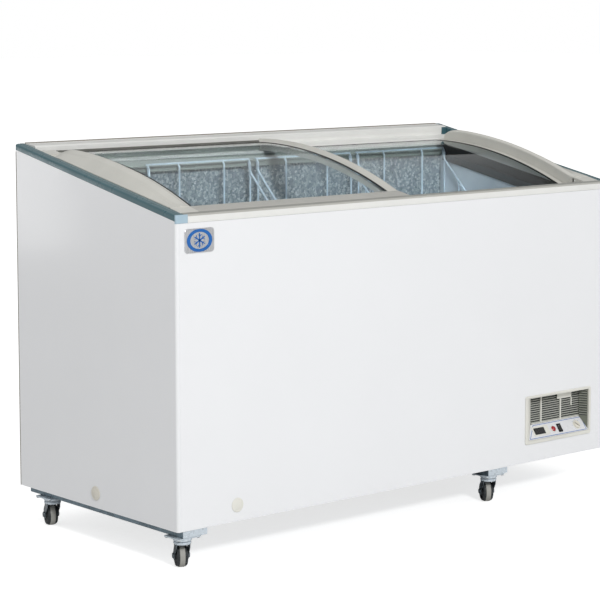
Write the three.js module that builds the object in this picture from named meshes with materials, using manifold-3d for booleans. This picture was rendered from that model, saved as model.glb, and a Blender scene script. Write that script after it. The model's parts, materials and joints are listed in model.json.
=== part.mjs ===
// Chest freezer with a sloped top and two curved glass lids that slide past each other.
// Millimetres. x runs from the left side, y from the front panel and z from the floor; the last
// group moves the origin to the middle of the footprint.
import * as THREE from 'three';
import { mergeVertices } from 'three/addons/utils/BufferGeometryUtils.js';
import Module from 'manifold-3d';

const wasm = await Module();
wasm.setup();

// ---------------------------------------------------------------- driving dimensions
const length = 1350;
const depth = 600;
const frontHeight = 755;
const backHeight = 875;
const casterHeight = 70;
const channelHeight = 15;
const gap = 0.3;                 // left between neighbouring pieces
const proud = 3;                 // how far plugs and grilles stand out of the panels

const bottom = casterHeight + channelHeight;
const slope = (backHeight - frontHeight) / depth;
const plane = (y, drop = 0) => frontHeight + slope * y - drop;

// cabinet shell
const sheet = 2;
const cornerRadius = 7;
const trimDrop = 17.5;
const trimWidth = 24;
const skirtThickness = 8;
const trimSkirt = 30;
const railDepth = 5;
const capWidth = 30.7;

// tub
const wall = 60;                 // panel to liner, all round
const linerThickness = 1.5;
const tubFloor = 146;
const stepX = 965;               // the tub is shallow to the right of this, over the compressor
const stepFloor = 436;
const bay = { x: 1020, top: 380 };
const collarY = { front: 64, back: 527 };
const ledgeTop = { front: 700.7, back: 813.2 };
const trackBottom = 712;
const railBottom = 827;

// curved lids: both frames share one arc centre
const lid = {
  left: 78,
  width: 606,
  border: 18,
  radius: 1110,
  crownY: 515,
  crownZ: 863,
  thickness: 13,
  stripY: 60,
  stripThickness: 5,
  drop: 17,
  frontEdge: { upper: 16, lower: 29 },
  rearEdge: { upper: 553, lower: 538 },
  glassTop: 8.5,                 // below the top of the frame
  glassThickness: 4,
  lowBar: 8,                     // the side bar next to the end cap starts this far below it
  post: 12,                      // full-height foot of the low bar, behind the front strip
};
const arcZ = lid.crownZ - lid.radius;
const lidTravel = length - 2 * lid.left - lid.width;

// end caps
const cap = {
  inner: 76,
  radius: 1180,
  crownY: 530,
  crownZ: 867,
  nose: 52,
  back: 510,
  shoulder: 50,
  bevel: 9,
  noseRadius: 16,
  backRadius: 14,
};

// air intake and console at the lower right of the front
const vent = { x0: 1054, x1: 1288, z0: 129.5, z1: 248, depth: 25 };
const recess = { left: 1065, innerLeft: 1100, right: 1282, z0: 138, z1: 242 };
const consoleFoot = { y: -1, z: 138.4 };
const consoleHead = { y: 21.5, z: 170.5 };

// baskets
const basket = { width: 311, pitch: 331, first: 309, wall: 2, floor: 560, count: 3 };

// casters
const wheelRadius = 25;
const wheelWidth = 24;
const trail = 18;
const casterSpots = [
  { name: 'front_left', x: 27, y: 21, turn: -27 },
  { name: 'back_left', x: 25, y: 507, turn: -20 },
  { name: 'front_right', x: 951, y: 21, turn: -30 },
  { name: 'back_right', x: 951, y: 507, turn: -12 },
];

// ---------------------------------------------------------------- materials
const finish = (color, roughness, metalness = 0, extra = {}) =>
  new THREE.MeshStandardMaterial({ color, roughness, metalness, ...extra });
const look = {
  whitePaint: finish(0xeeeff1, 0.35),
  teal: finish(0x4c6c74, 0.25),
  capGrey: finish(0xa9c0cb, 0.4),
  beige: finish(0xd0cfca, 0.4),
  trackGrey: finish(0xafafa9, 0.5),
  railWhite: finish(0xe6e6e4, 0.35),
  black: finish(0x1e2224, 0.5),
  collar: finish(0x9aa19c, 0.4),
  liner: finish(0x8a9498, 0.35, 0.8),
  foam: finish(0xe3d9b4, 0.9),
  galvanised: finish(0xa9bdc9, 0.35, 0.9),
  zinc: finish(0xb9bfc2, 0.25, 1),
  wire: finish(0xb8c8d4, 0.35),
  bezel: finish(0xdcd9cf, 0.45),
  consoleWhite: finish(0xf2f2f0, 0.3),
  lamp: finish(0xc41c2b, 0.2),
  compressorBlack: finish(0x141516, 0.4),
  tread: finish(0x2a2b2c, 0.6),
  plug: finish(0xd8d3c4, 0.45),
  silver: finish(0xb9bfc4, 0.3, 0.9),
  glass: finish(0xdfe8e8, 0.05, 0, { transparent: true, opacity: 0.25 }),
};

// ---------------------------------------------------------------- solids
function bare(geometry) {
  const copy = geometry.clone();
  for (const name of Object.keys(copy.attributes)) {
    if (name !== 'position') copy.deleteAttribute(name);
  }
  return mergeVertices(copy, 1e-4);
}

function toSolid(geometry) {
  const g = bare(geometry);
  return new wasm.Manifold(new wasm.Mesh({
    numProp: 3,
    vertProperties: new Float32Array(g.attributes.position.array),
    triVerts: new Uint32Array(g.index.array),
  }));
}

function toGeometry(solid) {
  const m = solid.getMesh();
  const g = new THREE.BufferGeometry();
  g.setAttribute('position', new THREE.BufferAttribute(new Float32Array(m.vertProperties), 3));
  g.setIndex(new THREE.BufferAttribute(new Uint32Array(m.triVerts), 1));
  return g;
}

const join = (...pieces) =>
  toGeometry(pieces.map(toSolid).reduce((all, one) => all.add(one)));
const cut = (base, ...tools) =>
  toGeometry(tools.map(toSolid).reduce((left, tool) => left.subtract(tool), toSolid(base)));
const common = (a, b) => toGeometry(toSolid(a).intersect(toSolid(b)));

function prism(points, far, basis) {
  const shape = new THREE.Shape(points.map(([a, b]) => new THREE.Vector2(a, b)));
  const g = new THREE.ExtrudeGeometry(shape, { depth: far, bevelEnabled: false, curveSegments: 8 });
  return g.applyMatrix4(basis);
}

const axisX = new THREE.Vector3(1, 0, 0);
const axisY = new THREE.Vector3(0, 1, 0);
const axisZ = new THREE.Vector3(0, 0, 1);

// outline [y, z] swept from x0 to x1
function alongX(points, x0, x1) {
  const basis = new THREE.Matrix4().makeBasis(axisY, axisZ, axisX).setPosition(x0, 0, 0);
  return prism(points, x1 - x0, basis);
}

// outline [x, z] swept from y0 to y1
function alongY(points, y0, y1) {
  const basis = new THREE.Matrix4().makeBasis(axisX, axisZ, axisY.clone().negate());
  return prism(points, y1 - y0, basis.setPosition(0, y1, 0));
}

// outline [x, y] swept from z0 to z1
function alongZ(points, z0, z1) {
  return prism(points, z1 - z0, new THREE.Matrix4().makeTranslation(0, 0, z0));
}

function box(x0, x1, y0, y1, z0, z1) {
  const g = new THREE.BoxGeometry(x1 - x0, y1 - y0, z1 - z0);
  return g.translate((x0 + x1) / 2, (y0 + y1) / 2, (z0 + z1) / 2);
}

const rectangle = (a0, a1, b0, b1) => [[a0, b0], [a1, b0], [a1, b1], [a0, b1]];

function arc(centreA, centreB, radius, from, to, steps) {
  return Array.from({ length: steps + 1 }, (_, i) => {
    const t = THREE.MathUtils.degToRad(from + ((to - from) * i) / steps);
    return [centreA + radius * Math.cos(t), centreB + radius * Math.sin(t)];
  });
}

function roundedRectangle(a0, a1, b0, b1, radius, steps = 3) {
  return [
    ...arc(a1 - radius, b0 + radius, radius, -90, 0, steps),
    ...arc(a1 - radius, b1 - radius, radius, 0, 90, steps),
    ...arc(a0 + radius, b1 - radius, radius, 90, 180, steps),
    ...arc(a0 + radius, b0 + radius, radius, 180, 270, steps),
  ];
}

// solid of revolution about +Z from [radius, height] pairs
function turned(profile, segments = 24) {
  const g = new THREE.LatheGeometry(profile.map(([r, h]) => new THREE.Vector2(r, h)), segments);
  return g.rotateX(Math.PI / 2);
}

const rod = (radius, z0, z1, segments = 16) =>
  turned([[0, z0], [radius, z0], [radius, z1], [0, z1]], segments);

// ---------------------------------------------------------------- scene graph
const cabinet = new THREE.Group();
cabinet.position.set(-length / 2, -depth / 2, 0);

function add(name, geometry, material, parent = cabinet) {
  const mesh = new THREE.Mesh(geometry, material);
  mesh.name = name;
  parent.add(mesh);
  return mesh;
}

const mirrored = (geometry) => {
  const solid = toSolid(geometry).mirror([1, 0, 0]).translate([length, 0, 0]);
  return toGeometry(solid);
};

function addPair(stem, geometry, material) {
  add(`left_${stem}`, geometry, material);
  add(`right_${stem}`, mirrored(geometry), material);
}

const insidePlan = () => {
  const inset = sheet + gap;
  return roundedRectangle(inset, length - inset, inset, depth - inset, cornerRadius);
};

// ---------------------------------------------------------------- cabinet shell
const frontPlug = { x: 160, z: 121 };
const sidePlug = { y: 298, z: 118 };
const plugHole = 10;
const rearGrille = { x0: 1080, x1: 1290, z0: 110, z1: 330 };
const sideGrille = { y0: 150, y1: 450, z0: 110, z1: 300 };
const gland = { x: 1050, z: 125, hole: 11.3 };

const pegY = (x, z, radius, y0, y1) => rod(radius, -y1, -y0).rotateX(Math.PI / 2).translate(x, 0, z);
const pegX = (y, z, radius, x0, x1) => rod(radius, x0, x1).rotateY(Math.PI / 2).translate(0, y, z);

function frontPanel() {
  const side = cornerRadius + 1;
  const face = box(side, length - side, 0, sheet, bottom, plane(0, trimDrop + gap));
  const [low, high] = [recess.z0 - 2.8, recess.z1 + 2.8];
  const opening = box(vent.x0 + 7.7, recess.right + 2.3, -1, sheet + 1, low, high);
  return cut(face, opening, pegY(frontPlug.x, frontPlug.z, plugHole, -1, sheet + 1));
}

function sidePanelBlank() {
  const r = cornerRadius;
  const plan = [
    [0, depth - sheet - gap],
    ...arc(r, r, r, 180, 270, 5),
    [r + 0.7, 0],
    [r + 0.7, sheet],
    ...arc(r, r, r - sheet, 270, 180, 5),
    [sheet, depth - sheet - gap],
  ];
  const side = [
    [-1, bottom],
    [depth + 1, bottom],
    [depth + 1, plane(depth + 1, trimDrop + gap)],
    [railDepth + gap, plane(railDepth + gap, trimDrop + gap)],
    [railDepth + gap, plane(0, trimDrop + gap)],
    [-1, plane(0, trimDrop + gap)],
  ];
  return common(alongZ(plan, bottom - 1, backHeight), alongX(side, -1, r + 2));
}

function backPanel() {
  const face = box(0, length, depth - sheet, depth, bottom, plane(depth - sheet, trimDrop + 1));
  const { x0, x1, z0, z1 } = rearGrille;
  const opening = box(x0, x1, depth - 9, depth + 9, z0, z1);
  return cut(face, opening, pegY(gland.x, gland.z, gland.hole, depth - 9, depth + 9));
}

function sideTrim() {
  const y0 = railDepth + gap;
  const band = (drop, y1) => {
    const under = [[y0, plane(y0, drop)], [y1, plane(y1, drop)]];
    return [...under, [y1, plane(y1)], [y0, plane(y0)]];
  };
  const skirt = alongX(band(trimSkirt, depth - sheet - gap), trimWidth - skirtThickness, trimWidth);
  return join(alongX(band(trimDrop, depth), 0, trimWidth), skirt);
}

function cornerCap() {
  const plan = [...arc(4, 4, 4, 180, 270, 4), [capWidth, 0], [capWidth, railDepth], [0, railDepth]];
  return alongZ(plan, plane(0, trimDrop), frontHeight + 0.5);
}

function buildShell() {
  add('front_panel', frontPanel(), look.whitePaint);
  const blank = sidePanelBlank();
  const sidePlugHole = pegX(sidePlug.y, sidePlug.z, plugHole, -1, sheet + 1);
  add('left_side_panel', cut(blank, sidePlugHole), look.whitePaint);
  const { y0, y1, z0, z1 } = sideGrille;
  const grilleHole = box(length - 9, length + 9, y0, y1, z0, z1);
  add('right_side_panel', cut(mirrored(blank), grilleHole), look.whitePaint);
  add('back_panel', backPanel(), look.whitePaint);
  add('base_panel', alongZ(insidePlan(), bottom, bottom + sheet), look.galvanised);
  addPair('side_trim', sideTrim(), look.teal);
  addPair('corner_cap', cornerCap(), look.capGrey);
}

// ---------------------------------------------------------------- tub
function tubBlank(grow, top) {
  const y0 = wall - sheet - grow;
  const y1 = depth - y0;
  const x0 = wall - grow;
  const floor = tubFloor - grow;
  const full = alongX([[y0, floor], [y1, floor], ...top(y0, y1)], x0, length - x0);
  const underStep = box(stepX + grow, length, 0, depth, 0, stepFloor - grow);
  return cut(full, underStep);
}

function insulation() {
  const inset = sheet + gap;
  const top = 56.5;
  const hull = alongX([
    [inset, bottom + sheet + gap],
    [depth - inset, bottom + sheet + gap],
    [depth - inset, plane(depth - inset, top)],
    [collarY.front + gap, plane(collarY.front + gap, top)],
    [inset, plane(collarY.front, top)],
  ], inset, length - inset);
  const hollow = tubBlank(gap, (y0, y1) => [[y1, backHeight], [y0, backHeight]]);
  const machineBay = box(bay.x, length, 0, depth, 0, bay.top);
  const plugSeats = [
    pegY(frontPlug.x, frontPlug.z, plugHole, 0, 18),
    pegX(sidePlug.y, sidePlug.z, plugHole, 0, 18),
  ];
  const block = common(hull, alongZ(insidePlan(), bottom, backHeight));
  return cut(block, hollow, machineBay, ...plugSeats);
}

function innerLiner() {
  const rim = plane(0, trimSkirt + gap);
  const outer = tubBlank(0, (y0, y1) => [
    [y1, railBottom - gap],
    [collarY.back - 1, railBottom - gap],
    [collarY.back - 1.3, rim + slope * (collarY.back - 1.3)],
    [collarY.front + gap, rim + slope * collarY.front],
    [collarY.front, trackBottom - gap],
    [y0, trackBottom - gap],
  ]);
  const inner = tubBlank(-linerThickness, (y0, y1) => [[y1, backHeight], [y0, backHeight]]);
  return cut(outer, inner);
}

const linerFace = wall + linerThickness + gap;
const bandFace = linerFace + 4.2;

function collars() {
  const x0 = bandFace + gap;
  const x1 = length - x0;
  const lipHeight = 3.7;
  const lipDepth = { front: 8, back: 9 };
  const foot = { front: 690, back: 797 };
  const rearFace = depth - wall + 0.2;
  const front = [
    [wall - gap, foot.front],
    [collarY.front, foot.front],
    [collarY.front, ledgeTop.front - lipHeight],
    [collarY.front + lipDepth.front, ledgeTop.front - lipHeight],
    [collarY.front + lipDepth.front, ledgeTop.front],
    [collarY.front, ledgeTop.front],
    [collarY.front, trackBottom - gap],
    [wall - gap, trackBottom - gap],
  ];
  const back = [
    [collarY.back, foot.back],
    [rearFace, foot.back],
    [rearFace, railBottom - gap],
    [collarY.back, railBottom - gap],
    [collarY.back, ledgeTop.back],
    [collarY.back - lipDepth.back, ledgeTop.back],
    [collarY.back - lipDepth.back, ledgeTop.back - lipHeight],
    [collarY.back, ledgeTop.back - lipHeight],
  ];
  add('front_collar', alongX(front, x0, x1), look.collar);
  add('back_collar', alongX(back, x0, x1), look.collar);
}

function sideBand(high, low) {
  const y0 = collarY.front + gap;
  const y1 = collarY.back - 1.3;
  const lower = [[y0, plane(y0, low)], [y1, plane(y1, low)]];
  const upper = [[y1, plane(y1, high)], [y0, plane(y0, high)]];
  return alongX([...lower, ...upper], linerFace, bandFace);
}

function buildTub() {
  add('insulation', insulation(), look.foam);
  add('inner_liner', innerLiner(), look.liner);
  collars();
  const seam = 57;
  addPair('track_seal', sideBand(trimSkirt, seam), look.black);
  addPair('inner_trim', sideBand(seam + gap, seam + 21), look.teal);
}

// ---------------------------------------------------------------- rails, tracks and end caps
// heights of the ledges that the upper and lower lid slide on, and where their steps stand
const upperLedge = { front: 749.7, back: 848.9 };
const lowerLedge = { front: 735.2, back: 832.4 };
const trackLip = 15;
const trackMiddle = 27.5;
const trackStep = { front: 42.5, back: 526 };
const trackBed = 726;
const railMiddle = 541;
const railFace = 556;

function frontRail() {
  const top = frontHeight;
  const low = top - trimDrop;
  const outline = [[0, low], [railDepth, low], [railDepth, top + 0.5], [1.5, top], [0, top - 2]];
  return alongX(outline, capWidth + gap, length - capWidth - gap);
}

function frontTrack() {
  const y = railDepth + gap;
  const outline = [
    [y, trackBottom],
    [collarY.front, trackBottom],
    [collarY.front, trackBed],
    [trackStep.front - 0.5, trackBed],
    [trackStep.front - 0.5, lowerLedge.front],
    [trackMiddle, lowerLedge.front],
    [trackMiddle, upperLedge.front],
    [trackLip, upperLedge.front],
    [trackLip, plane(trackLip)],
    [y, plane(y)],
  ];
  return alongX(outline, trimWidth + gap, length - trimWidth - gap);
}

function backRail() {
  const inset = depth - sheet - gap;
  const brow = backHeight - trimDrop + 0.5;
  const faceTop = plane(railFace) + 2;
  const outline = [
    [trackStep.back, railBottom],
    [inset, railBottom],
    [inset, brow],
    [depth, brow],
    [depth, backHeight],
    [railFace + 5, faceTop + 2.5],
    [railFace, faceTop],
    [railFace, upperLedge.back],
    [railMiddle, upperLedge.back],
    [railMiddle, lowerLedge.back],
    [trackStep.back, lowerLedge.back],
  ];
  return alongX(outline, trimWidth + gap, length - trimWidth - gap);
}

const onArc = (centreZ, radius, crownY, y) => centreZ + Math.sqrt(radius ** 2 - (y - crownY) ** 2);

function spread(from, to, steps) {
  return Array.from({ length: steps + 1 }, (_, i) => from + ((to - from) * i) / steps);
}

// side outline of an end cap, lowered by `lower` from its full height
function capOutline(lower) {
  const crest = (y) => onArc(cap.crownZ - cap.radius, cap.radius, cap.crownY, y) - lower;
  const footTop = (y) => lidStripTop(y, 0);
  const heel = trackStep.front;
  const foot = [lid.frontEdge.upper + 0.5, upperLedge.front + 0.5];
  const { nose, back, noseRadius, backRadius } = cap;
  const top = spread(back - backRadius, nose + noseRadius, 12).map((y) => [y, crest(y)]);
  return [
    [heel, foot[1]],
    [heel, plane(heel, trimSkirt - gap)],
    [back, plane(back, trimSkirt - gap)],
    [back, crest(back) - backRadius],
    [back - 0.3 * backRadius, crest(back) - 0.3 * backRadius],
    ...top,
    [nose + 0.3 * noseRadius, crest(nose) - 0.3 * noseRadius + 2],
    [nose, Math.max(crest(nose) - noseRadius, footTop(nose) + 1)],
    [nose, footTop(nose)],
    [foot[0], footTop(foot[0])],
    foot,
  ];
}

function endCap() {
  const outer = alongX(capOutline(cap.bevel), trimWidth + gap, cap.inner);
  const inner = alongX(capOutline(0), cap.shoulder, cap.inner);
  return join(outer, inner);
}

function buildRails() {
  add('front_rail', frontRail(), look.railWhite);
  add('front_track', frontTrack(), look.trackGrey);
  add('back_rail', backRail(), look.railWhite);
  addPair('end_cap', endCap(), look.beige);
}

// ---------------------------------------------------------------- lids
const lidArc = (y, lower) => onArc(arcZ, lid.radius - lower, lid.crownY, y);
const lidStripTop = (y, drop) => lidArc(lid.stripY, drop) + slope * (y - lid.stripY);

// lowX is the left edge of the side bar that runs beside an end cap
function lidParts(drop, stripFront, rear, x0, lowX) {
  const x1 = x0 + lid.width;
  const steps = 16;
  const topArc = spread(rear, lid.stripY, steps).map((y) => [y, lidArc(y, drop)]);
  const lowArc = spread(lid.stripY, rear, steps).map((y) => [y, lidArc(y, drop + lid.thickness)]);
  const outline = [
    ...topArc,
    [stripFront, lidStripTop(stripFront, drop)],
    [stripFront, lidStripTop(stripFront, drop) - lid.stripThickness],
    [lid.stripY, lidStripTop(lid.stripY, drop) - lid.stripThickness],
    ...lowArc,
  ];
  const window = box(x0 + lid.border, x1 - lid.border, lid.stripY, rear - lid.border, 600, 900);
  const aboveLowBar = alongX([
    ...spread(lid.stripY + lid.post, rear + 1, steps).map((y) => [y, lidArc(y, drop + lid.lowBar)]),
    [rear + 1, 900],
    [lid.stripY + lid.post, 900],
  ], lowX - 1, lowX + lid.border + 1);
  const frame = cut(alongX(outline.reverse(), x0, x1), window, aboveLowBar);
  const y0 = lid.stripY + gap;
  const y1 = rear - lid.border - gap;
  const glassTop = drop + lid.glassTop;
  const pane = [
    ...spread(y0, y1, steps).map((y) => [y, lidArc(y, glassTop + lid.glassThickness)]),
    ...spread(y1, y0, steps).map((y) => [y, lidArc(y, glassTop)]),
  ];
  const glass = alongX(pane, x0 + lid.border + gap, x1 - lid.border - gap);
  return { frame, glass };
}

function buildLids() {
  const upper = lidParts(0, lid.frontEdge.upper, lid.rearEdge.upper, lid.left, lid.left);
  add('left_lid_frame', upper.frame, look.beige);
  add('left_lid_glass', upper.glass, look.glass);
  const lowerX = lid.left + lidTravel;
  const lowerLow = lowerX + lid.width - lid.border;
  const lower = lidParts(lid.drop, lid.frontEdge.lower, lid.rearEdge.lower, lowerX, lowerLow);
  add('right_lid_frame', lower.frame, look.beige);
  add('right_lid_glass', lower.glass, look.glass);
}

// ---------------------------------------------------------------- baskets
function basketShell(x0) {
  const x1 = x0 + basket.width;
  const t = basket.wall;
  const front = collarY.front + 11;
  const back = collarY.back - 11;
  const rimFront = ledgeTop.front + gap;
  const rimBack = ledgeTop.back + gap;
  const shoulder = rimBack - 26;
  const dip = 640;
  const side = [
    [front, basket.floor],
    [back, basket.floor],
    [back, shoulder],
    [back - (shoulder - dip), dip],
    [front + 70, dip],
    [front, rimFront - 8],
  ];
  const inside = box(x0 + t, x1 - t, front + t, back - t, basket.floor + t, backHeight);
  const tray = cut(alongX(side, x0, x1), inside);
  const backWall = box(x0, x1, back - t, back, basket.floor, rimBack + 4);
  const backRim = box(x0, x1, back - t, collarY.back - 2, rimBack, rimBack + 4);
  const frontWall = box(x0, x1, front, front + t, basket.floor, rimFront + 4);
  const frontRim = box(x0, x1, collarY.front + 1, front + t, rimFront, rimFront + 4);
  return join(tray, backWall, backRim, frontWall, frontRim);
}

function buildBaskets() {
  ['left', 'middle', 'right'].forEach((side, i) => {
    add(`${side}_basket`, basketShell(basket.first + i * basket.pitch), look.wire);
  });
}

// ---------------------------------------------------------------- air intake and console
function recessCavity(shrink, z0, z1) {
  const y0 = -6;
  const y1 = vent.depth + 1;
  const drift = (recess.innerLeft - recess.left) / (vent.depth + proud);
  const leftAt = (y) => recess.left + drift * (y + proud) + shrink * 1.7;
  const right = recess.right - shrink;
  return alongZ([[leftAt(y0), y0], [right, y0], [right, y1], [leftAt(y1), y1]], z0, z1);
}

function ventFrame() {
  const flange = alongY(roundedRectangle(vent.x0, vent.x1, vent.z0, vent.z1, 5), -proud, -gap);
  const [low, high] = [recess.z0 - 2.5, recess.z1 + 2.5];
  const duct = box(vent.x0 + 8, recess.right + 2, -gap - 1, vent.depth, low, high);
  return cut(join(flange, duct), recessCavity(0, recess.z0, recess.z1));
}

function ventGrille() {
  const y0 = vent.depth - 3;
  const z0 = consoleHead.z + 1;
  const z1 = recess.z1 - gap;
  const plate = box(recess.innerLeft + 1, recess.right - gap, y0, vent.depth - 0.4, z0, z1);
  const columns = [[1104, 1132], [1136, 1202], [1206, 1241], [1245, 1278]];
  const rows = 14;
  const pitch = (z1 - z0 - 3) / rows;
  const slots = [];
  for (const [x0, x1] of columns) {
    for (let i = 0; i < rows; i += 1) {
      const z = z0 + 2 + i * pitch;
      slots.push(box(x0, x1, y0 - 1, vent.depth + 1, z, z + 0.6 * pitch));
    }
  }
  return cut(plate, ...slots);
}

// console parts are drawn flat (x across, y up the slope, z out of it) and tilted into place
const tilt = Math.atan2(consoleHead.z - consoleFoot.z, consoleHead.y - consoleFoot.y);
const consoleMatrix = new THREE.Matrix4().makeRotationX(tilt).setPosition(0, consoleFoot.y, consoleFoot.z);
const rise = 18.5;                       // up the slope, to the middle of the switch and lamp
const display = { x: 1126, y: 21, width: 54, height: 25 };
const lampSpot = { x: 1168, radius: 6 };
const rocker = { x: 1188, width: 12, height: 19, rest: -8 };
const knob = { x: 1250, radius: 9.5 };

function consolePanel() {
  const wedge = alongX([
    [consoleFoot.y, consoleFoot.z],
    [vent.depth - 0.4, consoleFoot.z],
    [vent.depth - 0.4, consoleHead.z],
    [consoleHead.y, consoleHead.z],
  ], recess.left, recess.right);
  const body = common(wedge, recessCavity(gap, 0, 300));
  const d = display;
  const halfWidth = 0.42 * d.width;
  const halfHeight = 0.4 * d.height;
  const holes = [
    box(d.x - halfWidth, d.x + halfWidth, d.y - halfHeight, d.y + halfHeight, -6, 5),
    box(rocker.x - 6.6, rocker.x + 6.6, rise - 10.4, rise + 10.4, -9, 5),
    rod(4.5, -8, 5).translate(lampSpot.x, rise, 0),
    rod(4.5, -8, 5).translate(knob.x, rise, 0),
  ];
  return cut(body, ...holes.map((hole) => hole.applyMatrix4(consoleMatrix)));
}

function thermometerDisplay() {
  const halfWidth = display.width / 2;
  const halfHeight = display.height / 2;
  const rim = alongZ(roundedRectangle(-halfWidth, halfWidth, -halfHeight, halfHeight, 3), gap, 2);
  const [a, b] = [0.8 * halfWidth, 0.76 * halfHeight];
  const back = box(-a, a, -b, b, -5, 1);
  return join(rim, back).translate(display.x, display.y, 0).applyMatrix4(consoleMatrix);
}

function indicatorLamp() {
  const r = lampSpot.radius;
  const stem = [[0, -7], [4, -7], [4, gap]];
  const dome = turned([...stem, [r, gap], [r, 2], [0.8 * r, 3.6], [0.4 * r, 4.6], [0, 5]], 20);
  return dome.translate(lampSpot.x, rise, 0).applyMatrix4(consoleMatrix);
}

function powerSwitch() {
  const h = rocker.height / 2 - 0.8;
  const profile = [[-h, 2.6], [-h, -1.5], [0, -3.5], [h, -1.5], [h, 2.6], [0, 1.4]];
  const lever = alongX(profile, -rocker.width / 2, rocker.width / 2);
  lever.rotateX(THREE.MathUtils.degToRad(rocker.rest));
  return lever.translate(rocker.x, rise, 0).applyMatrix4(consoleMatrix);
}

function thermostatKnob() {
  const r = knob.radius;
  const stem = [[0, -7], [4, -7], [4, gap]];
  const body = turned([...stem, [r, gap], [r, 2.6], [0.9 * r, 3.4], [0, 3.4]], 28);
  const slot = box(-0.7 * r, 0.7 * r, -1.2, 1.2, 1.8, 6).rotateZ(-Math.PI / 4);
  return cut(body, slot).translate(knob.x, rise, 0).applyMatrix4(consoleMatrix);
}

function buildConsole() {
  add('vent_frame', ventFrame(), look.bezel);
  add('vent_grille', ventGrille(), look.bezel);
  add('console_panel', consolePanel(), look.consoleWhite);
  add('thermometer_display', thermometerDisplay(), look.black);
  add('indicator_lamp', indicatorLamp(), look.lamp);
  add('power_switch', powerSwitch(), look.black);
  add('thermostat_knob', thermostatKnob(), look.plug);
}

// ---------------------------------------------------------------- plugs, badge and grilles
// drawn pointing up (+Z out of the panel), then turned to face outwards
function drainPlug() {
  const head = 15.8;
  const stem = [[0, -14], [8, -14], [9, -12], [9, gap]];
  return turned([...stem, [head, gap], [head, 1.6], [0.8 * head, 2.7], [0, proud]], 28);
}

function louvredPanel(width, height) {
  const [a, b] = [width / 2, height / 2];
  const flange = alongZ(roundedRectangle(-a - 8, a + 8, -b - 8, b + 8, 6), gap, proud);
  const body = alongZ(rectangle(-a + 0.5, a - 0.5, -b + 0.5, b - 0.5), -4, proud - 1);
  const rows = 12;
  const pitch = (height - 16) / rows;
  const slots = [];
  for (let i = 0; i < rows; i += 1) {
    const y = -height / 2 + 8 + i * pitch;
    for (const side of [-1, 1]) {
      const x = side * width * 0.235;
      slots.push(box(x - 0.215 * width, x + 0.215 * width, y + 0.25 * pitch, y + 0.75 * pitch, -6, 6));
    }
  }
  return cut(join(flange, body), ...slots);
}

function buildFittings() {
  const front = new THREE.Matrix4().makeBasis(axisX, axisZ, axisY.clone().negate());
  const leftward = new THREE.Matrix4().makeBasis(axisY.clone().negate(), axisZ, axisX.clone().negate());
  const rearward = new THREE.Matrix4().makeBasis(axisX.clone().negate(), axisZ, axisY);
  const rightward = new THREE.Matrix4().makeBasis(axisY, axisZ, axisX);
  const face = (geometry, matrix, x, y, z) => geometry.applyMatrix4(matrix).translate(x, y, z);
  add('front_drain_plug', face(drainPlug(), front, frontPlug.x, 0, frontPlug.z), look.plug);
  add('side_drain_plug', face(drainPlug(), leftward, 0, sidePlug.y, sidePlug.z), look.plug);
  add('badge_plate', alongY(roundedRectangle(21, 99, 674, 725, 8, 4), -2, -gap), look.silver);
  const r = rearGrille;
  const rear = louvredPanel(r.x1 - r.x0, r.z1 - r.z0);
  add('rear_grille', face(rear, rearward, (r.x0 + r.x1) / 2, depth, (r.z0 + r.z1) / 2), look.black);
  const s = sideGrille;
  const side = louvredPanel(s.y1 - s.y0, s.z1 - s.z0);
  add('right_grille', face(side, rightward, length, (s.y0 + s.y1) / 2, (s.z0 + s.z1) / 2), look.whitePaint);
  const sleeve = [[4, -10], [11, -10], [11, gap]];
  const collar = [[14, gap], [14, 2], [12, proud], [5, proud], [4, 2]];
  const bush = turned([...sleeve, ...collar, sleeve[0]]);
  add('cord_gland', face(bush, rearward, gland.x, depth, gland.z), look.black);
}

// ---------------------------------------------------------------- cooling machinery
function compressor() {
  const pot = [[0, 8], [60, 8], [78, 24], [82, 60], [82, 120]];
  const shell = turned([...pot, [74, 160], [50, 184], [20, 192], [0, 194]], 24);
  const foot = alongZ(roundedRectangle(-85, 85, -62, 62, 16), 0, 10);
  const stub = rod(5, 150, 222, 10).translate(46, 0, 0);
  return join(shell, foot, stub).translate(1125, 440, bottom + sheet + gap);
}

function condenser() {
  const x0 = 1065;
  const x1 = 1275;
  const z0 = bottom + sheet + gap;
  const z1 = z0 + 220;
  const fins = 9;
  const pieces = [];
  for (let i = 0; i <= fins; i += 1) {
    const x = x0 + ((x1 - x0) * i) / fins;
    pieces.push(box(x - 1.5, x + 1.5, 55, 105, z0, z1));
  }
  for (let row = 0; row < 3; row += 1) {
    pieces.push(rod(5, x0 - 8, x1 + 8, 6).rotateY(Math.PI / 2).translate(0, 80, z0 + 40 + row * 70));
  }
  return join(...pieces);
}

const fan = { x: 1170, y: 150, z: 205, radius: 88, blades: 5 };

function fanBlade() {
  const hub = rod(17, 0, 16, 20);
  const blades = [];
  for (let i = 0; i < fan.blades; i += 1) {
    const blade = box(12, fan.radius, -19, 19, -1, 1).rotateX(0.42).translate(0, 0, 8);
    blades.push(blade.rotateZ((2 * Math.PI * i) / fan.blades));
  }
  return join(hub, ...blades).rotateX(Math.PI / 2).translate(fan.x, fan.y, fan.z);
}

function fanMotor() {
  const motor = rod(30, -60, 0, 24).rotateX(Math.PI / 2).translate(fan.x, fan.y + 10, fan.z);
  const shaft = rod(4, -20, 4 - gap, 12).rotateX(Math.PI / 2).translate(fan.x, fan.y + 4, fan.z);
  const z0 = bottom + sheet + gap;
  const post = box(fan.x - 14, fan.x + 14, fan.y + 35, fan.y + 41, z0, fan.z);
  const foot = box(fan.x - 30, fan.x + 30, fan.y + 20, fan.y + 60, z0, z0 + 3);
  return join(motor, shaft, post, foot);
}

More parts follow.
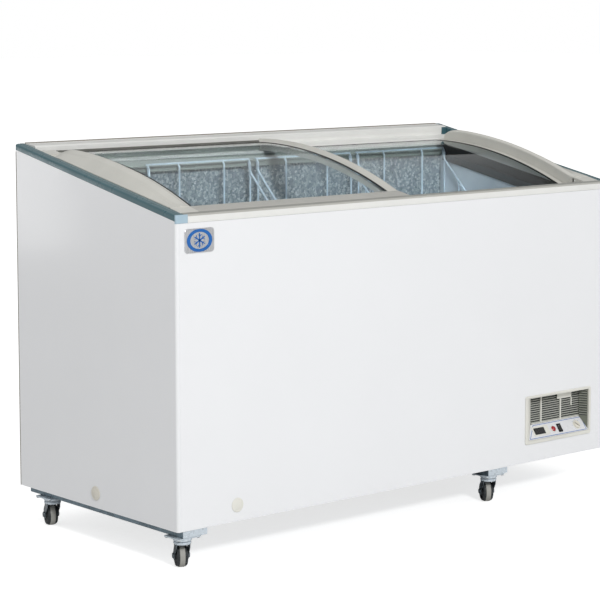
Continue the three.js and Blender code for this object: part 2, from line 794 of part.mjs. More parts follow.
function buildMachinery() {
  add('compressor', compressor(), look.compressorBlack);
  add('condenser', condenser(), look.zinc);
  add('fan_motor', fanMotor(), look.black);
  add('fan_blade', fanBlade(), look.silver);
}

// ---------------------------------------------------------------- channels and casters
function baseChannel(x0) {
  const width = 60;
  const y0 = 2;
  const y1 = 582;
  const top = bottom - gap;
  const outer = box(x0, x0 + width, y0, y1, casterHeight, top);
  const [a, b] = [x0 + sheet, x0 + width - sheet];
  const inner = box(a, b, y0 + sheet, y1 - sheet, casterHeight - 1, top - sheet);
  return cut(outer, inner);
}

function casterPlate() {
  const thick = 2.5;
  const top = casterHeight - gap;
  const plate = alongZ(roundedRectangle(-24, 38, -19, 35, 4), top - thick, top);
  const race = turned([[0, 60], [17, 60], [20, 62], [20, top - 1], [0, top - 1]], 28);
  return join(plate, race);
}

function casterFork() {
  const legInside = wheelWidth / 2 + 1.5;
  const legOutside = legInside + sheet;
  const crown = turned([[0, 53.5], [17, 53.5], [19, 55], [19, 58.5], [17, 59.7], [0, 59.7]], 28);
  const leg = [[-12, 57], [-10, 46], [trail - 9, 26], [trail - 6, 18], [trail + 2, 16], [trail + 8, 20],
    [trail + 9, 28], [13, 57]];
  const legs = [alongX(leg, -legOutside, -legInside), alongX(leg, legInside, legOutside)];
  const axle = rod(4, -legOutside - 0.5, legOutside + 0.5, 12);
  const nuts = [-1, 1].map((side) => rod(6.5, 0, 3.2, 6).translate(0, 0, side * (legOutside + 1.4) - 1.6));
  const pin = join(axle, ...nuts).rotateY(Math.PI / 2).translate(0, trail, wheelRadius);
  return join(crown, ...legs, pin);
}

function casterWheel() {
  const half = wheelWidth / 2;
  const profile = [[4.4, -half - 0.6], [9, -half - 0.6], [9, -half + 1], [22, -half],
    [wheelRadius, -half + 4], [wheelRadius, half - 4], [22, half], [9, half - 1],
    [9, half + 0.6], [4.4, half + 0.6], [4.4, -half - 0.6]];
  return turned(profile, 28).rotateY(Math.PI / 2).translate(0, trail, wheelRadius);
}

function buildUndercarriage() {
  add('left_base_channel', baseChannel(20), look.galvanised);
  add('right_base_channel', baseChannel(937), look.galvanised);
  for (const spot of casterSpots) {
    const fixed = new THREE.Group();
    fixed.position.set(spot.x, spot.y, 0);
    cabinet.add(fixed);
    add(`${spot.name}_caster_plate`, casterPlate(), look.zinc, fixed);
    const swivel = new THREE.Group();
    swivel.position.copy(fixed.position);
    swivel.rotation.z = THREE.MathUtils.degToRad(spot.turn);
    cabinet.add(swivel);
    add(`${spot.name}_caster_fork`, casterFork(), look.zinc, swivel);
    add(`${spot.name}_caster_wheel`, casterWheel(), look.tread, swivel);
  }
}

buildShell();
buildTub();
buildRails();
buildLids();
buildBaskets();
buildConsole();
buildFittings();
buildMachinery();
buildUndercarriage();

const freezer = new THREE.Group();
freezer.add(cabinet);
export default freezer;
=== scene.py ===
"""Looks of a sloped-top chest freezer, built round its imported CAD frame.

Lengths in this file are millimetres in cabinet coordinates (x from the left side, y from the
front panel, z from the floor) and become metres in the row frame only when a mesh is made.
"""
import json
import math

import bmesh
import bpy
from mathutils import Matrix, Vector, noise


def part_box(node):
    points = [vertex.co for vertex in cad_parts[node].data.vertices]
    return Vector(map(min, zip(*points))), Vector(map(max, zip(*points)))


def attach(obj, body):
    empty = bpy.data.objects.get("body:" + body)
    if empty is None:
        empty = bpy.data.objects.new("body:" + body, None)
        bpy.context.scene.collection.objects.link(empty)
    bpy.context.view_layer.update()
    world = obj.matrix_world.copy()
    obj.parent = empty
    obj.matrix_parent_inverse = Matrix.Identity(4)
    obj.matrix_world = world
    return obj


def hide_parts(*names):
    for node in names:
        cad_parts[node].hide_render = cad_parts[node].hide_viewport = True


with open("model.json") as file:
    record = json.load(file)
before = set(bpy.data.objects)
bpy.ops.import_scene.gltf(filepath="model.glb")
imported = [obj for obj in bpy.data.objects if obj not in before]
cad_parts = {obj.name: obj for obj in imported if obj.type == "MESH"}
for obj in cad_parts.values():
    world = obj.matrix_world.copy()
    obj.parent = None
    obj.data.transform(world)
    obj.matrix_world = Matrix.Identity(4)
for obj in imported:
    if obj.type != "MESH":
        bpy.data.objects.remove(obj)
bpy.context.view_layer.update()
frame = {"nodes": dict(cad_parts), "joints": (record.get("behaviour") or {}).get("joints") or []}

MM = 0.001
SHIFT_X, SHIFT_Y = 675.0, 300.0      # cabinet corner to row origin
CABINET = "cabinet"


# ---- places read from the frame
class Span:
    """A CAD node's box in cabinet millimetres."""

    def __init__(self, node):
        low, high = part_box(node)
        self.x0, self.x1 = low.x / MM + SHIFT_X, high.x / MM + SHIFT_X
        self.y0, self.y1 = low.y / MM + SHIFT_Y, high.y / MM + SHIFT_Y
        self.z0, self.z1 = low.z / MM, high.z / MM
        self.middle = [(self.x0 + self.x1) / 2, (self.y0 + self.y1) / 2, (self.z0 + self.z1) / 2]


LEFT_PANEL = Span("left_side_panel")
RIGHT_PANEL = Span("right_side_panel")
FRONT_RAIL = Span("front_rail")
BACK_RAIL = Span("back_rail")
TRIM = Span("left_side_trim")
CAP = Span("left_end_cap")
LINER = Span("inner_liner")
GRILLE = Span("vent_grille")
UPPER_LID = Span("left_lid_frame")
LOWER_LID = Span("right_lid_frame")

LENGTH = RIGHT_PANEL.x1
DEPTH = 600.0
FRONT_TOP = FRONT_RAIL.z1 - 0.5
SLOPE = 0.2


def plane(y, drop=0.0):
    """Height of the sloped top plane."""
    return FRONT_TOP + SLOPE * y - drop


# ---- shapes: (points, faces)
def merged(shapes):
    """Several shapes as one."""
    points, faces = [], []
    for more_points, more_faces in shapes:
        base = len(points)
        points.extend(more_points)
        faces.extend([base + i for i in face] for face in more_faces)
    return points, faces


def loft(rings, closed=True, caps=True, loop=False):
    """Skin through rings of equal length; `loop` joins the last ring to the first."""
    count = len(rings[0])
    points = [p for ring in rings for p in ring]
    faces = []
    spans = len(rings) if loop else len(rings) - 1
    for i in range(spans):
        a, b = i * count, ((i + 1) % len(rings)) * count
        for j in range(count if closed else count - 1):
            k = (j + 1) % count
            faces.append([a + j, a + k, b + k, b + j])
    if caps and not loop:
        faces.append(list(range(count))[::-1])
        faces.append([(len(rings) - 1) * count + j for j in range(count)])
    return points, faces


def rounded(outline, radius, steps=4):
    """Fillets a closed 2D outline; a corner may carry its own radius as a third number."""
    out = []
    count = len(outline)
    for i, corner in enumerate(outline):
        p = Vector(corner[:2])
        a = Vector(outline[i - 1][:2]) - p
        b = Vector(outline[(i + 1) % count][:2]) - p
        r = corner[2] if len(corner) > 2 else radius
        half = a.angle(b) / 2
        reach = min(r / max(math.tan(half), 1e-3), 0.49 * a.length, 0.49 * b.length)
        if r <= 0:
            out.append(tuple(p))
            continue
        start, end = p + a.normalized() * reach, p + b.normalized() * reach
        for s in range(steps + 1):
            t = s / steps
            out.append(tuple((1 - t) ** 2 * start + 2 * t * (1 - t) * p + t * t * end))
    return out


def along_x(outline, x0, x1):
    """[y, z] outline swept along x."""
    return loft([[(x, y, z) for y, z in outline] for x in (x0, x1)])


def along_y(outline, y0, y1, rise=0.0):
    """[x, z] outline swept along y, climbing `rise` per unit."""
    return loft([[(x, y, z + rise * (y - y0)) for x, z in outline] for y in (y0, y1)])


def along_z(outline, z0, z1):
    """[x, y] outline swept along z."""
    return loft([[(x, y, z) for x, y in outline] for z in (z0, z1)])


def rectangle(u0, u1, v0, v1, radius=0.0, steps=4):
    corners = [(u0, v0), (u1, v0), (u1, v1), (u0, v1)]
    return rounded(corners, radius, steps) if radius else corners


def block(x0, x1, y0, y1, z0, z1, radius=0.0):
    """Box with its four edges along y rounded."""
    return along_y(rectangle(x0, x1, z0, z1, radius), y0, y1)


def turned(profile, steps=32):
    """Solid of revolution about z from (radius, height) pairs; ends on the axis or closes."""
    rings = []
    for i in range(steps):
        a = 2 * math.pi * i / steps
        rings.append([(r * math.cos(a), r * math.sin(a), h) for r, h in profile])
    closed = profile[0][0] > 0
    return loft(rings, closed=closed, caps=False, loop=True)


def bent(points, radius, steps=5):
    """Rounds the corners of a 3D polyline."""
    points = [Vector(p) for p in points]
    out = [points[0]]
    for before, p, after in zip(points, points[1:], points[2:]):
        a, b = before - p, after - p
        reach = min(radius, 0.45 * a.length, 0.45 * b.length)
        start, end = p + a.normalized() * reach, p + b.normalized() * reach
        for s in range(steps + 1):
            t = s / steps
            out.append((1 - t) ** 2 * start + 2 * t * (1 - t) * p + t * t * end)
    return out + [points[-1]]


def tube(points, radius, sides=8, loop=False):
    """Round wire along a 3D polyline."""
    points = [Vector(p) for p in points]
    last = len(points) - 1
    up = None
    rings = []
    for i, p in enumerate(points):
        if loop:
            ahead, behind = points[(i + 1) % len(points)], points[i - 1]
        else:
            ahead, behind = points[min(i + 1, last)], points[max(i - 1, 0)]
        along = (ahead - behind).normalized()
        if up is None:
            up = along.orthogonal().normalized()
        up = (up - along * up.dot(along)).normalized()
        side = along.cross(up)
        ring = []
        for s in range(sides):
            a = 2 * math.pi * s / sides
            ring.append(tuple(p + (up * math.cos(a) + side * math.sin(a)) * radius))
        rings.append(ring)
    return loft(rings, caps=not loop, loop=loop)


def moved(shape, matrix):
    points, faces = shape
    return [tuple(matrix @ Vector(p)) for p in points], faces


def shift(x, y, z):
    return Matrix.Translation((x, y, z))


def spin(angle, axis="Z"):
    return Matrix.Rotation(angle, 4, axis)


def mirrored(shape):
    """The same shape at the other end of the cabinet."""
    points, faces = shape
    return [(LENGTH - x, y, z) for x, y, z in points], [face[::-1] for face in faces]


SIDES = (("left", lambda shape: shape), ("right", mirrored))


# ---- pieces
SHARP = math.radians(38)          # faces that meet at more than this keep a hard edge
BEVELLED = math.radians(40)       # edges sharper than this are rounded
SAME_POINT = 1e-6                 # metres
NO_LENGTH = 1e-7
WELD_GAP = 2e-5


def to_row(point):
    return Vector(((point[0] - SHIFT_X) * MM, (point[1] - SHIFT_Y) * MM, point[2] * MM))


def added(name, data):
    """A new object in the scene."""
    obj = bpy.data.objects.new(name, data)
    bpy.context.scene.collection.objects.link(obj)
    return obj


def piece(name, shapes, tone, replaces=(), body=CABINET, soften=0.0):
    """One visible piece of the freezer, made from shapes in cabinet millimetres."""
    points, faces = merged(shapes)
    mesh = bpy.data.meshes.new(name)
    mesh.from_pydata([to_row(p) for p in points], [], faces)
    work = bmesh.new()
    work.from_mesh(mesh)
    bmesh.ops.remove_doubles(work, verts=work.verts, dist=SAME_POINT)
    bmesh.ops.dissolve_degenerate(work, edges=work.edges, dist=NO_LENGTH)
    bmesh.ops.recalc_face_normals(work, faces=work.faces)
    work.to_mesh(mesh)
    work.free()
    mesh.materials.append(MATERIAL[tone])
    for polygon in mesh.polygons:
        polygon.use_smooth = True
    mesh.set_sharp_from_angle(angle=SHARP)
    obj = added(name, mesh)
    if soften:
        rounding(obj, soften)
    else:
        flatten_shading(obj)
    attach(obj, body)
    if replaces:
        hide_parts(*replaces)
    return obj


def flatten_shading(obj):
    """Large faces keep their own normal, so fillets shade without bleeding into them."""
    weighted = obj.modifiers.new("normals", "WEIGHTED_NORMAL")
    weighted.keep_sharp = True
    weighted.weight = 80


def rounding(obj, width):
    bevel = obj.modifiers.new("edge", "BEVEL")
    bevel.width = width * MM
    bevel.segments = 2
    bevel.limit_method = "ANGLE"
    bevel.angle_limit = BEVELLED
    bevel.harden_normals = True


def keep(nodes, tone, width=0.4):
    """A carried-over CAD node gets its material and softly rounded edges."""
    for name in nodes:
        obj = frame["nodes"][name]
        obj.data.materials.clear()
        obj.data.materials.append(MATERIAL[tone])
        for polygon in obj.data.polygons:
            polygon.material_index = 0
            polygon.use_smooth = True
        weld = obj.modifiers.new("weld", "WELD")
        weld.merge_threshold = WELD_GAP
        rounding(obj, width)
        flatten_shading(obj)


# ---- material kit
def linear(color):
    """sRGB 0-255 to linear RGBA."""
    out = []
    for c in color:
        s = c / 255
        out.append(s / 12.92 if s <= 0.04045 else ((s + 0.055) / 1.055) ** 2.4)
    return (*out, 1.0)


class Look:
    """A procedural material on object coordinates, which are metres in the row frame."""

    def __init__(self, name, rough=0.5, metal=0.0, **constants):
        self.material = bpy.data.materials.new(name)
        self.material.use_nodes = True
        self.tree = self.material.node_tree
        self.shader = self.tree.nodes["Principled BSDF"]
        self.place = self.tree.nodes.new("ShaderNodeTexCoord").outputs["Object"]
        self.shader.inputs["Roughness"].default_value = rough
        self.shader.inputs["Metallic"].default_value = metal
        for key, value in constants.items():
            self.shader.inputs[key.replace("_", " ")].default_value = value

    def node(self, kind, inputs=None, **properties):
        made = self.tree.nodes.new(kind)
        for key, value in properties.items():
            setattr(made, key, value)
        for key, value in (inputs or {}).items():
            if isinstance(value, bpy.types.NodeSocket):
                self.tree.links.new(value, made.inputs[key])
            else:
                made.inputs[key].default_value = value
        return made

    def noise(self, scale, detail=3.0, roughness=0.55, stretch=None):
        place = self.place
        if stretch:
            place = self.node("ShaderNodeMapping", {"Vector": place, "Scale": stretch}).outputs[0]
        inputs = {"Vector": place, "Scale": scale, "Detail": detail, "Roughness": roughness}
        return self.node("ShaderNodeTexNoise", inputs).outputs["Fac"]

    def cells(self, scale, feature="F1", output="Distance"):
        made = self.node("ShaderNodeTexVoronoi", {"Vector": self.place, "Scale": scale})
        made.feature = feature
        return made.outputs[output]

    def ramp(self, value, stops):
        """Colour ramp from (position, colour) stops."""
        made = self.node("ShaderNodeValToRGB", {"Fac": value})
        band = made.color_ramp.elements
        while len(band) < len(stops):
            band.new(0.5)
        for element, (position, color) in zip(band, stops):
            element.position = position
            element.color = color
        return made.outputs["Color"]

    def between(self, value, low, high, frm=0.3, to=0.7):
        inputs = {"Value": value, "From Min": frm, "From Max": to, "To Min": low, "To Max": high}
        return self.node("ShaderNodeMapRange", inputs).outputs["Result"]

    def mix(self, factor, first, second):
        made = self.node("ShaderNodeMix", data_type="RGBA")
        for key, value in (("Factor", factor), ("A", first), ("B", second)):
            socket = next(s for s in made.inputs if s.name == key and s.enabled)
            if isinstance(value, bpy.types.NodeSocket):
                self.tree.links.new(value, socket)
            else:
                socket.default_value = value
        return next(s for s in made.outputs if s.enabled)

    def math(self, operation, a, b):
        return self.node("ShaderNodeMath", {0: a, 1: b}, operation=operation).outputs[0]

    def clouded(self, scale, detail, first, second):
        """Two colours mixed by soft noise."""
        return self.mix(self.between(self.noise(scale, detail), 0, 1), first, second)

    def color(self, value):
        self.put("Base Color", value)

    def rough(self, value):
        self.put("Roughness", value)

    def worn(self, scale, detail, low, high):
        """Roughness that wanders between two values."""
        self.rough(self.between(self.noise(scale, detail), low, high))

    def put(self, key, value):
        if isinstance(value, bpy.types.NodeSocket):
            self.tree.links.new(value, self.shader.inputs[key])
        else:
            self.shader.inputs[key].default_value = value

    def bump(self, height, strength, distance_mm):
        inputs = {"Height": height, "Strength": strength, "Distance": distance_mm * MM}
        before = self.shader.inputs["Normal"].links
        if before:
            inputs["Normal"] = before[0].from_socket
        self.put("Normal", self.node("ShaderNodeBump", inputs).outputs["Normal"])


def by_ray(tree, ray, usual, special, output):
    """Shows `special` to rays of one kind and `usual` to all others."""
    path = tree.nodes.new("ShaderNodeLightPath")
    mix = tree.nodes.new("ShaderNodeMixShader")
    tree.links.new(path.outputs[ray], mix.inputs[0])
    tree.links.new(usual.outputs[0], mix.inputs[1])
    tree.links.new(special.outputs[0], mix.inputs[2])
    tree.links.new(mix.outputs[0], tree.nodes[output].inputs["Surface"])


def shade(color, factor):
    """A colour made darker or brighter."""
    return (color[0] * factor, color[1] * factor, color[2] * factor, 1.0)


def moulded(name, color, rough=0.4, grain=900.0, depth=0.03, spread=0.05, lines=False, **constants):
    """Plastic: cloudy tone, fine grain, uneven gloss and, if extruded, die lines along y."""
    look = Look(name, rough, **constants)
    base = linear(color)
    tone = look.clouded(14.0, 4.0, shade(base, 1 - spread), shade(base, 1 + spread / 2))
    dust = look.between(look.noise(160.0, 5.0, 0.7), 0, 0.25, 0.55, 0.8)
    look.color(look.mix(dust, tone, shade(base, 1 - 2.2 * spread)))
    look.worn(45.0, 5.0, rough * 0.82, rough * 1.25)
    look.bump(look.noise(grain, 2.0), 0.35, depth)
    look.bump(look.noise(22.0, 2.0), 0.2, 0.12)
    if lines:
        look.bump(look.noise(260.0, 2.0, stretch=(1.0, 0.02, 1.0)), 0.2, 0.03)
    return look.material


def enamel():
    """Baked white enamel on sheet steel, with orange peel and faint waviness."""
    look = Look("white_enamel", 0.3, Coat_Weight=0.25, Coat_Roughness=0.12)
    base = linear((240, 241, 243))
    look.color(look.clouded(3.0, 3.0, shade(base, 0.985), base))
    look.rough(look.between(look.noise(6.0, 2.0), 0.28, 0.36, 0.2, 0.8))
    look.bump(look.noise(150.0, 2.0), 0.12, 0.03)
    look.bump(look.noise(5.0, 2.0), 0.3, 0.5)
    return look.material


def glossy(name, color, rough=0.3):
    """Glossy extrusion with fine die lines along its length."""
    return moulded(name, color, rough, spread=0.09, lines=True, Coat_Weight=0.15, Coat_Roughness=0.15)


def embossed_aluminium():
    """Stucco-embossed sheet: hammered cells, each painted paler or darker as the glints and shade on its
    facet.
    """
    look = Look("embossed_aluminium", 0.4, 0.35)
    facets = look.cells(170.0, output="Color")
    grey = look.node("ShaderNodeRGBToBW", {"Color": facets}).outputs[0]
    fine = look.noise(330.0, 3.0, 0.65)
    # Cells are painted from dark to pale one by one: painted glints and shade on the hammered facets.
    painted_glints = look.math("MULTIPLY", look.between(grey, 0, 1, 0.15, 0.95), look.between(fine, 0.3, 1))
    dark, pale = linear((122, 134, 140)), linear((242, 246, 247))
    tone = look.ramp(painted_glints, [(0.0, dark), (0.4, linear((168, 178, 182))), (0.8, pale)])
    patch = look.between(look.noise(4.0, 3.0), 0, 0.35)
    look.color(look.mix(patch, tone, linear((138, 152, 162))))
    look.rough(look.between(fine, 0.28, 0.5))
    look.bump(look.cells(150.0, "SMOOTH_F1"), 0.7, 0.8)
    look.bump(fine, 0.3, 0.25)
    return look.material


def smooth_aluminium():
    """Plain rolled sheet with a faint blue cast and soft handling marks."""
    look = Look("smooth_aluminium", 0.42, 0.2)
    look.color(look.clouded(6.0, 4.0, linear((196, 208, 218)), linear((226, 234, 240))))
    look.worn(40.0, 4.0, 0.34, 0.55)
    look.bump(look.noise(30.0, 3.0), 0.3, 0.3)
    return look.material


def zinc(name, color, rough=0.3, spangle=130.0, metal=0.85, frost=0.28):
    """Galvanised or plated steel: frost-like spangles of differing brightness."""
    look = Look(name, rough, metal)
    base = linear(color)
    grey = look.node("ShaderNodeRGBToBW", {"Color": look.cells(spangle, output="Color")}).outputs[0]
    tone = look.mix(look.between(grey, 0, 1, 0.1, 0.9), shade(base, 1 - frost), shade(base, 1 + frost / 2))
    stain = look.between(look.noise(35.0, 5.0, 0.7), 0, 1.8 * frost, 0.5, 0.75)
    look.color(look.mix(stain, tone, shade(base, 0.55)))
    look.rough(look.between(grey, rough * 0.7, rough * 1.4, 0.1, 0.9))
    look.bump(look.noise(240.0, 3.0), 0.2, 0.06)
    return look.material


def wire_coat():
    """Pale blue-white powder coat with thin spots."""
    look = Look("coated_wire", 0.32, Coat_Weight=0.2)
    base = linear((196, 212, 224))
    look.color(look.clouded(60.0, 4.0, shade(base, 0.86), shade(base, 1.1)))
    look.worn(200.0, 3.0, 0.25, 0.42)
    look.bump(look.noise(500.0, 2.0), 0.3, 0.08)
    return look.material


def lid_glass():
    """Clear tempered glass that lets lamps through to the tub."""
    look = Look("lid_glass", 0.0, Transmission_Weight=1.0, IOR=1.1)
    look.color(look.clouded(2.0, 2.0, (0.86, 0.91, 0.93, 1), (0.90, 0.94, 0.95, 1)))
    look.worn(9.0, 4.0, 0.0, 0.02)
    clear = look.node("ShaderNodeBsdfTransparent", {"Color": (0.93, 0.96, 0.97, 1)})
    by_ray(look.tree, "Is Shadow Ray", look.shader, clear, "Material Output")
    return look.material


def foam():
    """Cut rigid foam: coarse pores and a yellowed skin."""
    look = Look("foam", 0.9)
    pores = look.cells(420.0, "SMOOTH_F1")
    tone = look.clouded(12.0, 4.0, linear((226, 214, 170)), linear((236, 227, 192)))
    look.color(look.mix(look.between(pores, 0, 0.4), tone, linear((196, 178, 128))))
    look.bump(pores, 0.6, 0.6)
    return look.material


def brushed(name, color, rough, stretch):
    """Metal with fine lines drawn out by `stretch`, whose smallest number is along them."""
    look = Look(name, rough, 0.9)
    base = linear(color)
    lines = look.noise(900.0, 3.0, stretch=stretch)
    look.color(look.mix(look.between(lines, 0, 1), shade(base, 0.8), shade(base, 1.1)))
    look.rough(look.between(lines, rough * 0.8, rough * 1.3))
    look.bump(lines, 0.2, 0.05)
    return look.material


def tread_rubber():
    """Black wheel plastic, dusty and scuffed."""
    look = Look("wheel_black", 0.42)
    base = linear((38, 42, 45))
    scuff = look.between(look.noise(130.0, 6.0, 0.75), 0, 0.6, 0.52, 0.75)
    look.color(look.mix(scuff, base, linear((96, 99, 99))))
    look.worn(90.0, 4.0, 0.3, 0.6)
    look.bump(look.noise(300.0, 4.0), 0.4, 0.15)
    return look.material


def lamp_lens():
    """Red prismatic lens."""
    look = Look("lamp_red", 0.15, Coat_Weight=0.6)
    glow = look.cells(700.0)
    look.color(look.mix(look.between(glow, 0, 1, 0, 0.6), linear((214, 38, 52)), linear((150, 12, 26))))
    look.bump(glow, 0.5, 0.2)
    return look.material


TONES = {
    # tone: (slot in the record, material)
    "white": ("white_paint", enamel()),
    "teal": ("teal_trim", glossy("teal_trim", (68, 103, 111))),
    # Much darker copy of the teal: painted shade on the inner trims inside the tub's rim.
    "teal_dark": ("teal_trim", glossy("teal_painted_shade", (22, 34, 39), 0.45)),
    "corner": ("corner_grey", moulded("corner_grey", (168, 192, 206), 0.35, Coat_Weight=0.2)),
    "beige": ("beige_frame", moulded("beige_frame", (206, 205, 198), 0.36, Coat_Weight=0.12)),
    "cover": ("beige_frame", moulded("beige_cover", (210, 209, 202), 0.36, Coat_Weight=0.12)),
    # Darker copy of the frame beige: painted shade on the lids' front strips and the front rail's brow.
    "strip": ("beige_frame", moulded("beige_painted_shade", (184, 183, 177), 0.36, Coat_Weight=0.12)),
    # Grey that paints shade on the rail's white step behind the left lid's glass.
    "shade_sheet": ("beige_frame", moulded("shade_sheet_grey", (152, 159, 153), 0.45)),
    # Dark grey that paints shade on the left lid's rear bar.
    "rear_bar_shade": ("black_plastic", moulded("painted_shade_bar", (92, 93, 86), 0.5, spread=0.12)),
    "black": ("black_plastic", moulded("black_plastic", (30, 33, 35), 0.42, spread=0.2)),
    "seal": ("black_plastic", moulded("black_seal", (22, 24, 25), 0.6, spread=0.25)),
    "enamel_black": ("black_plastic",
                     moulded("black_enamel", (22, 22, 24), 0.28, spread=0.2, Coat_Weight=0.4)),
    "seam": ("track_grey", moulded("seam_brown", (140, 135, 126), 0.5)),
    "track": ("track_grey", moulded("track_grey", (152, 152, 146), 0.42)),
    "rail": ("rail_white", moulded("rail_white", (234, 234, 231), 0.34, spread=0.03)),
    "collar": ("collar_grey", moulded("collar_grey", (152, 160, 154), 0.38)),
    "bezel": ("bezel_beige", moulded("bezel_beige", (228, 227, 219), 0.42)),
    # Darker copy of the bezel plastic: painted shade on the louvre blades and the duct's ribs.
    "louvre": ("bezel_beige", moulded("louvre_painted_shade", (176, 178, 170), 0.5)),
    # Dark copy of the bezel plastic: painted shade on the recess's right wall.
    "duct": ("bezel_beige", moulded("duct_painted_shade", (112, 116, 104), 0.5, spread=0.15)),
    "plug": ("plug_beige", moulded("plug_beige", (226, 222, 210), 0.45)),
    "console": ("console_white", moulded("console_white", (226, 227, 230), 0.3, spread=0.02)),
    "blue": ("console_white", moulded("print_blue", (66, 110, 176), 0.35, spread=0.08)),
    "lamp": ("lamp_red", lamp_lens()),
    "emblem": ("badge_silver", moulded("emblem_blue", (0, 98, 178), 0.25, spread=0.08, Coat_Weight=0.5)),
    "silver": ("badge_silver", brushed("badge_silver", (222, 223, 226), 0.3, (1.0, 1.0, 0.06))),
    "copper": ("badge_silver", brushed("copper_tube", (190, 116, 82), 0.32, (1.0, 1.0, 1.0))),
    "liner": ("embossed_aluminium", embossed_aluminium()),
    "smooth_liner": ("embossed_aluminium", smooth_aluminium()),
    "galvanised": ("galvanised_steel", zinc("galvanised", (122, 138, 148), 0.34, 90.0)),
    "zinc": ("zinc_plate", zinc("zinc_plate", (206, 210, 212), 0.24, 260.0, 0.45, 0.16)),
    # Paler, less metallic copy of the zinc plating: painted light on caster plates, fork crowns and channel
    # ends.
    "bright": ("zinc_plate", zinc("zinc_painted_light", (206, 216, 224), 0.3, 200.0, 0.2, 0.07)),
    # Darker copy of the zinc plating: painted shade on the fork legs.
    "steel": ("zinc_plate", zinc("zinc_painted_shade", (112, 120, 126), 0.3, 300.0)),
    "wire": ("coated_wire", wire_coat()),
    "glass": ("lid_glass", lid_glass()),
    "foam": ("foam", foam()),
    "rubber": ("wheel_rubber", tread_rubber()),
    "tread": ("wheel_rubber",
              moulded("tread_grey", (165, 164, 158), 0.55, grain=500.0, depth=0.1, spread=0.12)),
}
MATERIAL = {tone: material for tone, (_, material) in TONES.items()}


# ---- cabinet shell
def side_trims():
    """Teal extrusion along each side of the sloped top, with a white hem of sheet steel below it."""
    top = plane(TRIM.y0)
    low, inner = top - 14.5, TRIM.x1
    outline = rounded([
        (0, low, 1.0), (inner, low, 0.5), (inner, top - 0.8, 0.8), (inner - 3, top, 0.5),
        (12, top, 0.3), (11, top - 0.6, 0.3), (10, top - 0.6, 0.3), (9, top, 0.3), (0, top - 1.5, 4.2),
    ], 1.0, 5)
    bar = along_y(outline, TRIM.y0, DEPTH, SLOPE)
    web = along_y(rectangle(16, inner, low - 15, low + 1), TRIM.y0, DEPTH - 3, SLOPE)
    hem = along_y(rectangle(0.02, 6, low - 4.5, low + 0.5), TRIM.y0, DEPTH, SLOPE)
    for side, flip in SIDES:
        piece(f"{side}_trim_extrusion", [flip(bar), flip(web)], "teal", [f"{side}_side_trim"], soften=0.35)
        piece(f"{side}_panel_hem", [flip(hem)], "white")


def screw(radius):
    """Pan-head screw with a cross recess, axis +z, seat at z=0. The recess is a thin cross laid on the
    head, to be painted black as its shade.
    """
    head = turned([(0, 1.9), (0.45 * radius, 1.8), (0.8 * radius, 1.35), (radius, 0.5),
                   (radius, -0.4), (0, -0.4)], 24)
    bar = block(-0.55 * radius, 0.55 * radius, -0.35, 0.35, 1.75, 2.0)
    turns = (0.3, 0.3 + math.pi / 2)
    return head, merged([moved(bar, spin(turn)) for turn in turns])


def facing(direction, x, y, z):
    """Matrix that turns +z outwards along `direction` and moves it to a place."""
    turn = Vector(direction).to_track_quat("Z", "Y").to_matrix().to_4x4()
    return shift(x, y, z) @ turn


def screws(name, places, direction, radius=3.6):
    heads, slots = [], []
    for place in places:
        head, slot = screw(radius)
        at = facing(direction, *place)
        heads.append(moved(head, at))
        slots.append(moved(slot, at))
    piece(name, heads, "zinc")
    # Black crosses on the heads: painted shade in the recesses.
    piece(f"{name}_recess", slots, "black")


def back_fixings():
    """Screws down the back panel and round the two grilles."""
    places = [(x, DEPTH, z) for x in (12, LENGTH / 3, 2 * LENGTH / 3, LENGTH - 12)
              for z in (100, 470, 845)]
    screws("back_screws", places, (0, 1, 0))
    rear, side = Span("rear_grille"), Span("right_grille")
    corners = [(x, rear.y1, z) for x in (rear.x0 + 5, rear.x1 - 5) for z in (rear.z0 + 5, rear.z1 - 5)]
    screws("grille_screws", corners, (0, 1, 0), 2.6)
    corners = [(side.x1, y, z) for y in (side.y0 + 5, side.y1 - 5) for z in (side.z0 + 5, side.z1 - 5)]
    screws("side_grille_screws", corners, (1, 0, 0), 2.6)


def edge_seams():
    """Folded lip of the back panel: a thin line down both back corners and along the top."""
    low, top = LEFT_PANEL.z0, plane(DEPTH, 18)
    upright = block(-0.4, 1.2, DEPTH - 2.6, DEPTH, low, top, 0.3)
    fold = [(DEPTH - 5.5, 870), (DEPTH, 870), (DEPTH, 876.8), (DEPTH - 5.5, 876.2)]
    lip = along_x(rounded(fold, 0.8), 24.5, LENGTH - 24.5)
    piece("back_panel_lip", [upright, mirrored(upright), lip], "seam")


def shell():
    keep(("front_panel", "left_side_panel", "right_side_panel", "back_panel"), "white", 0.5)
    keep(("base_panel",), "galvanised")
    keep(("left_corner_cap", "right_corner_cap"), "corner", 1.6)
    edge_seams()
    keep(("right_grille",), "white")
    keep(("rear_grille", "cord_gland"), "black")
    side_trims()
    back_fixings()


# ---- rails and caps
RAIL_FACE, RAIL_STEP = 556.0, 541.0      # y of the back rail's upper face and of the step below it


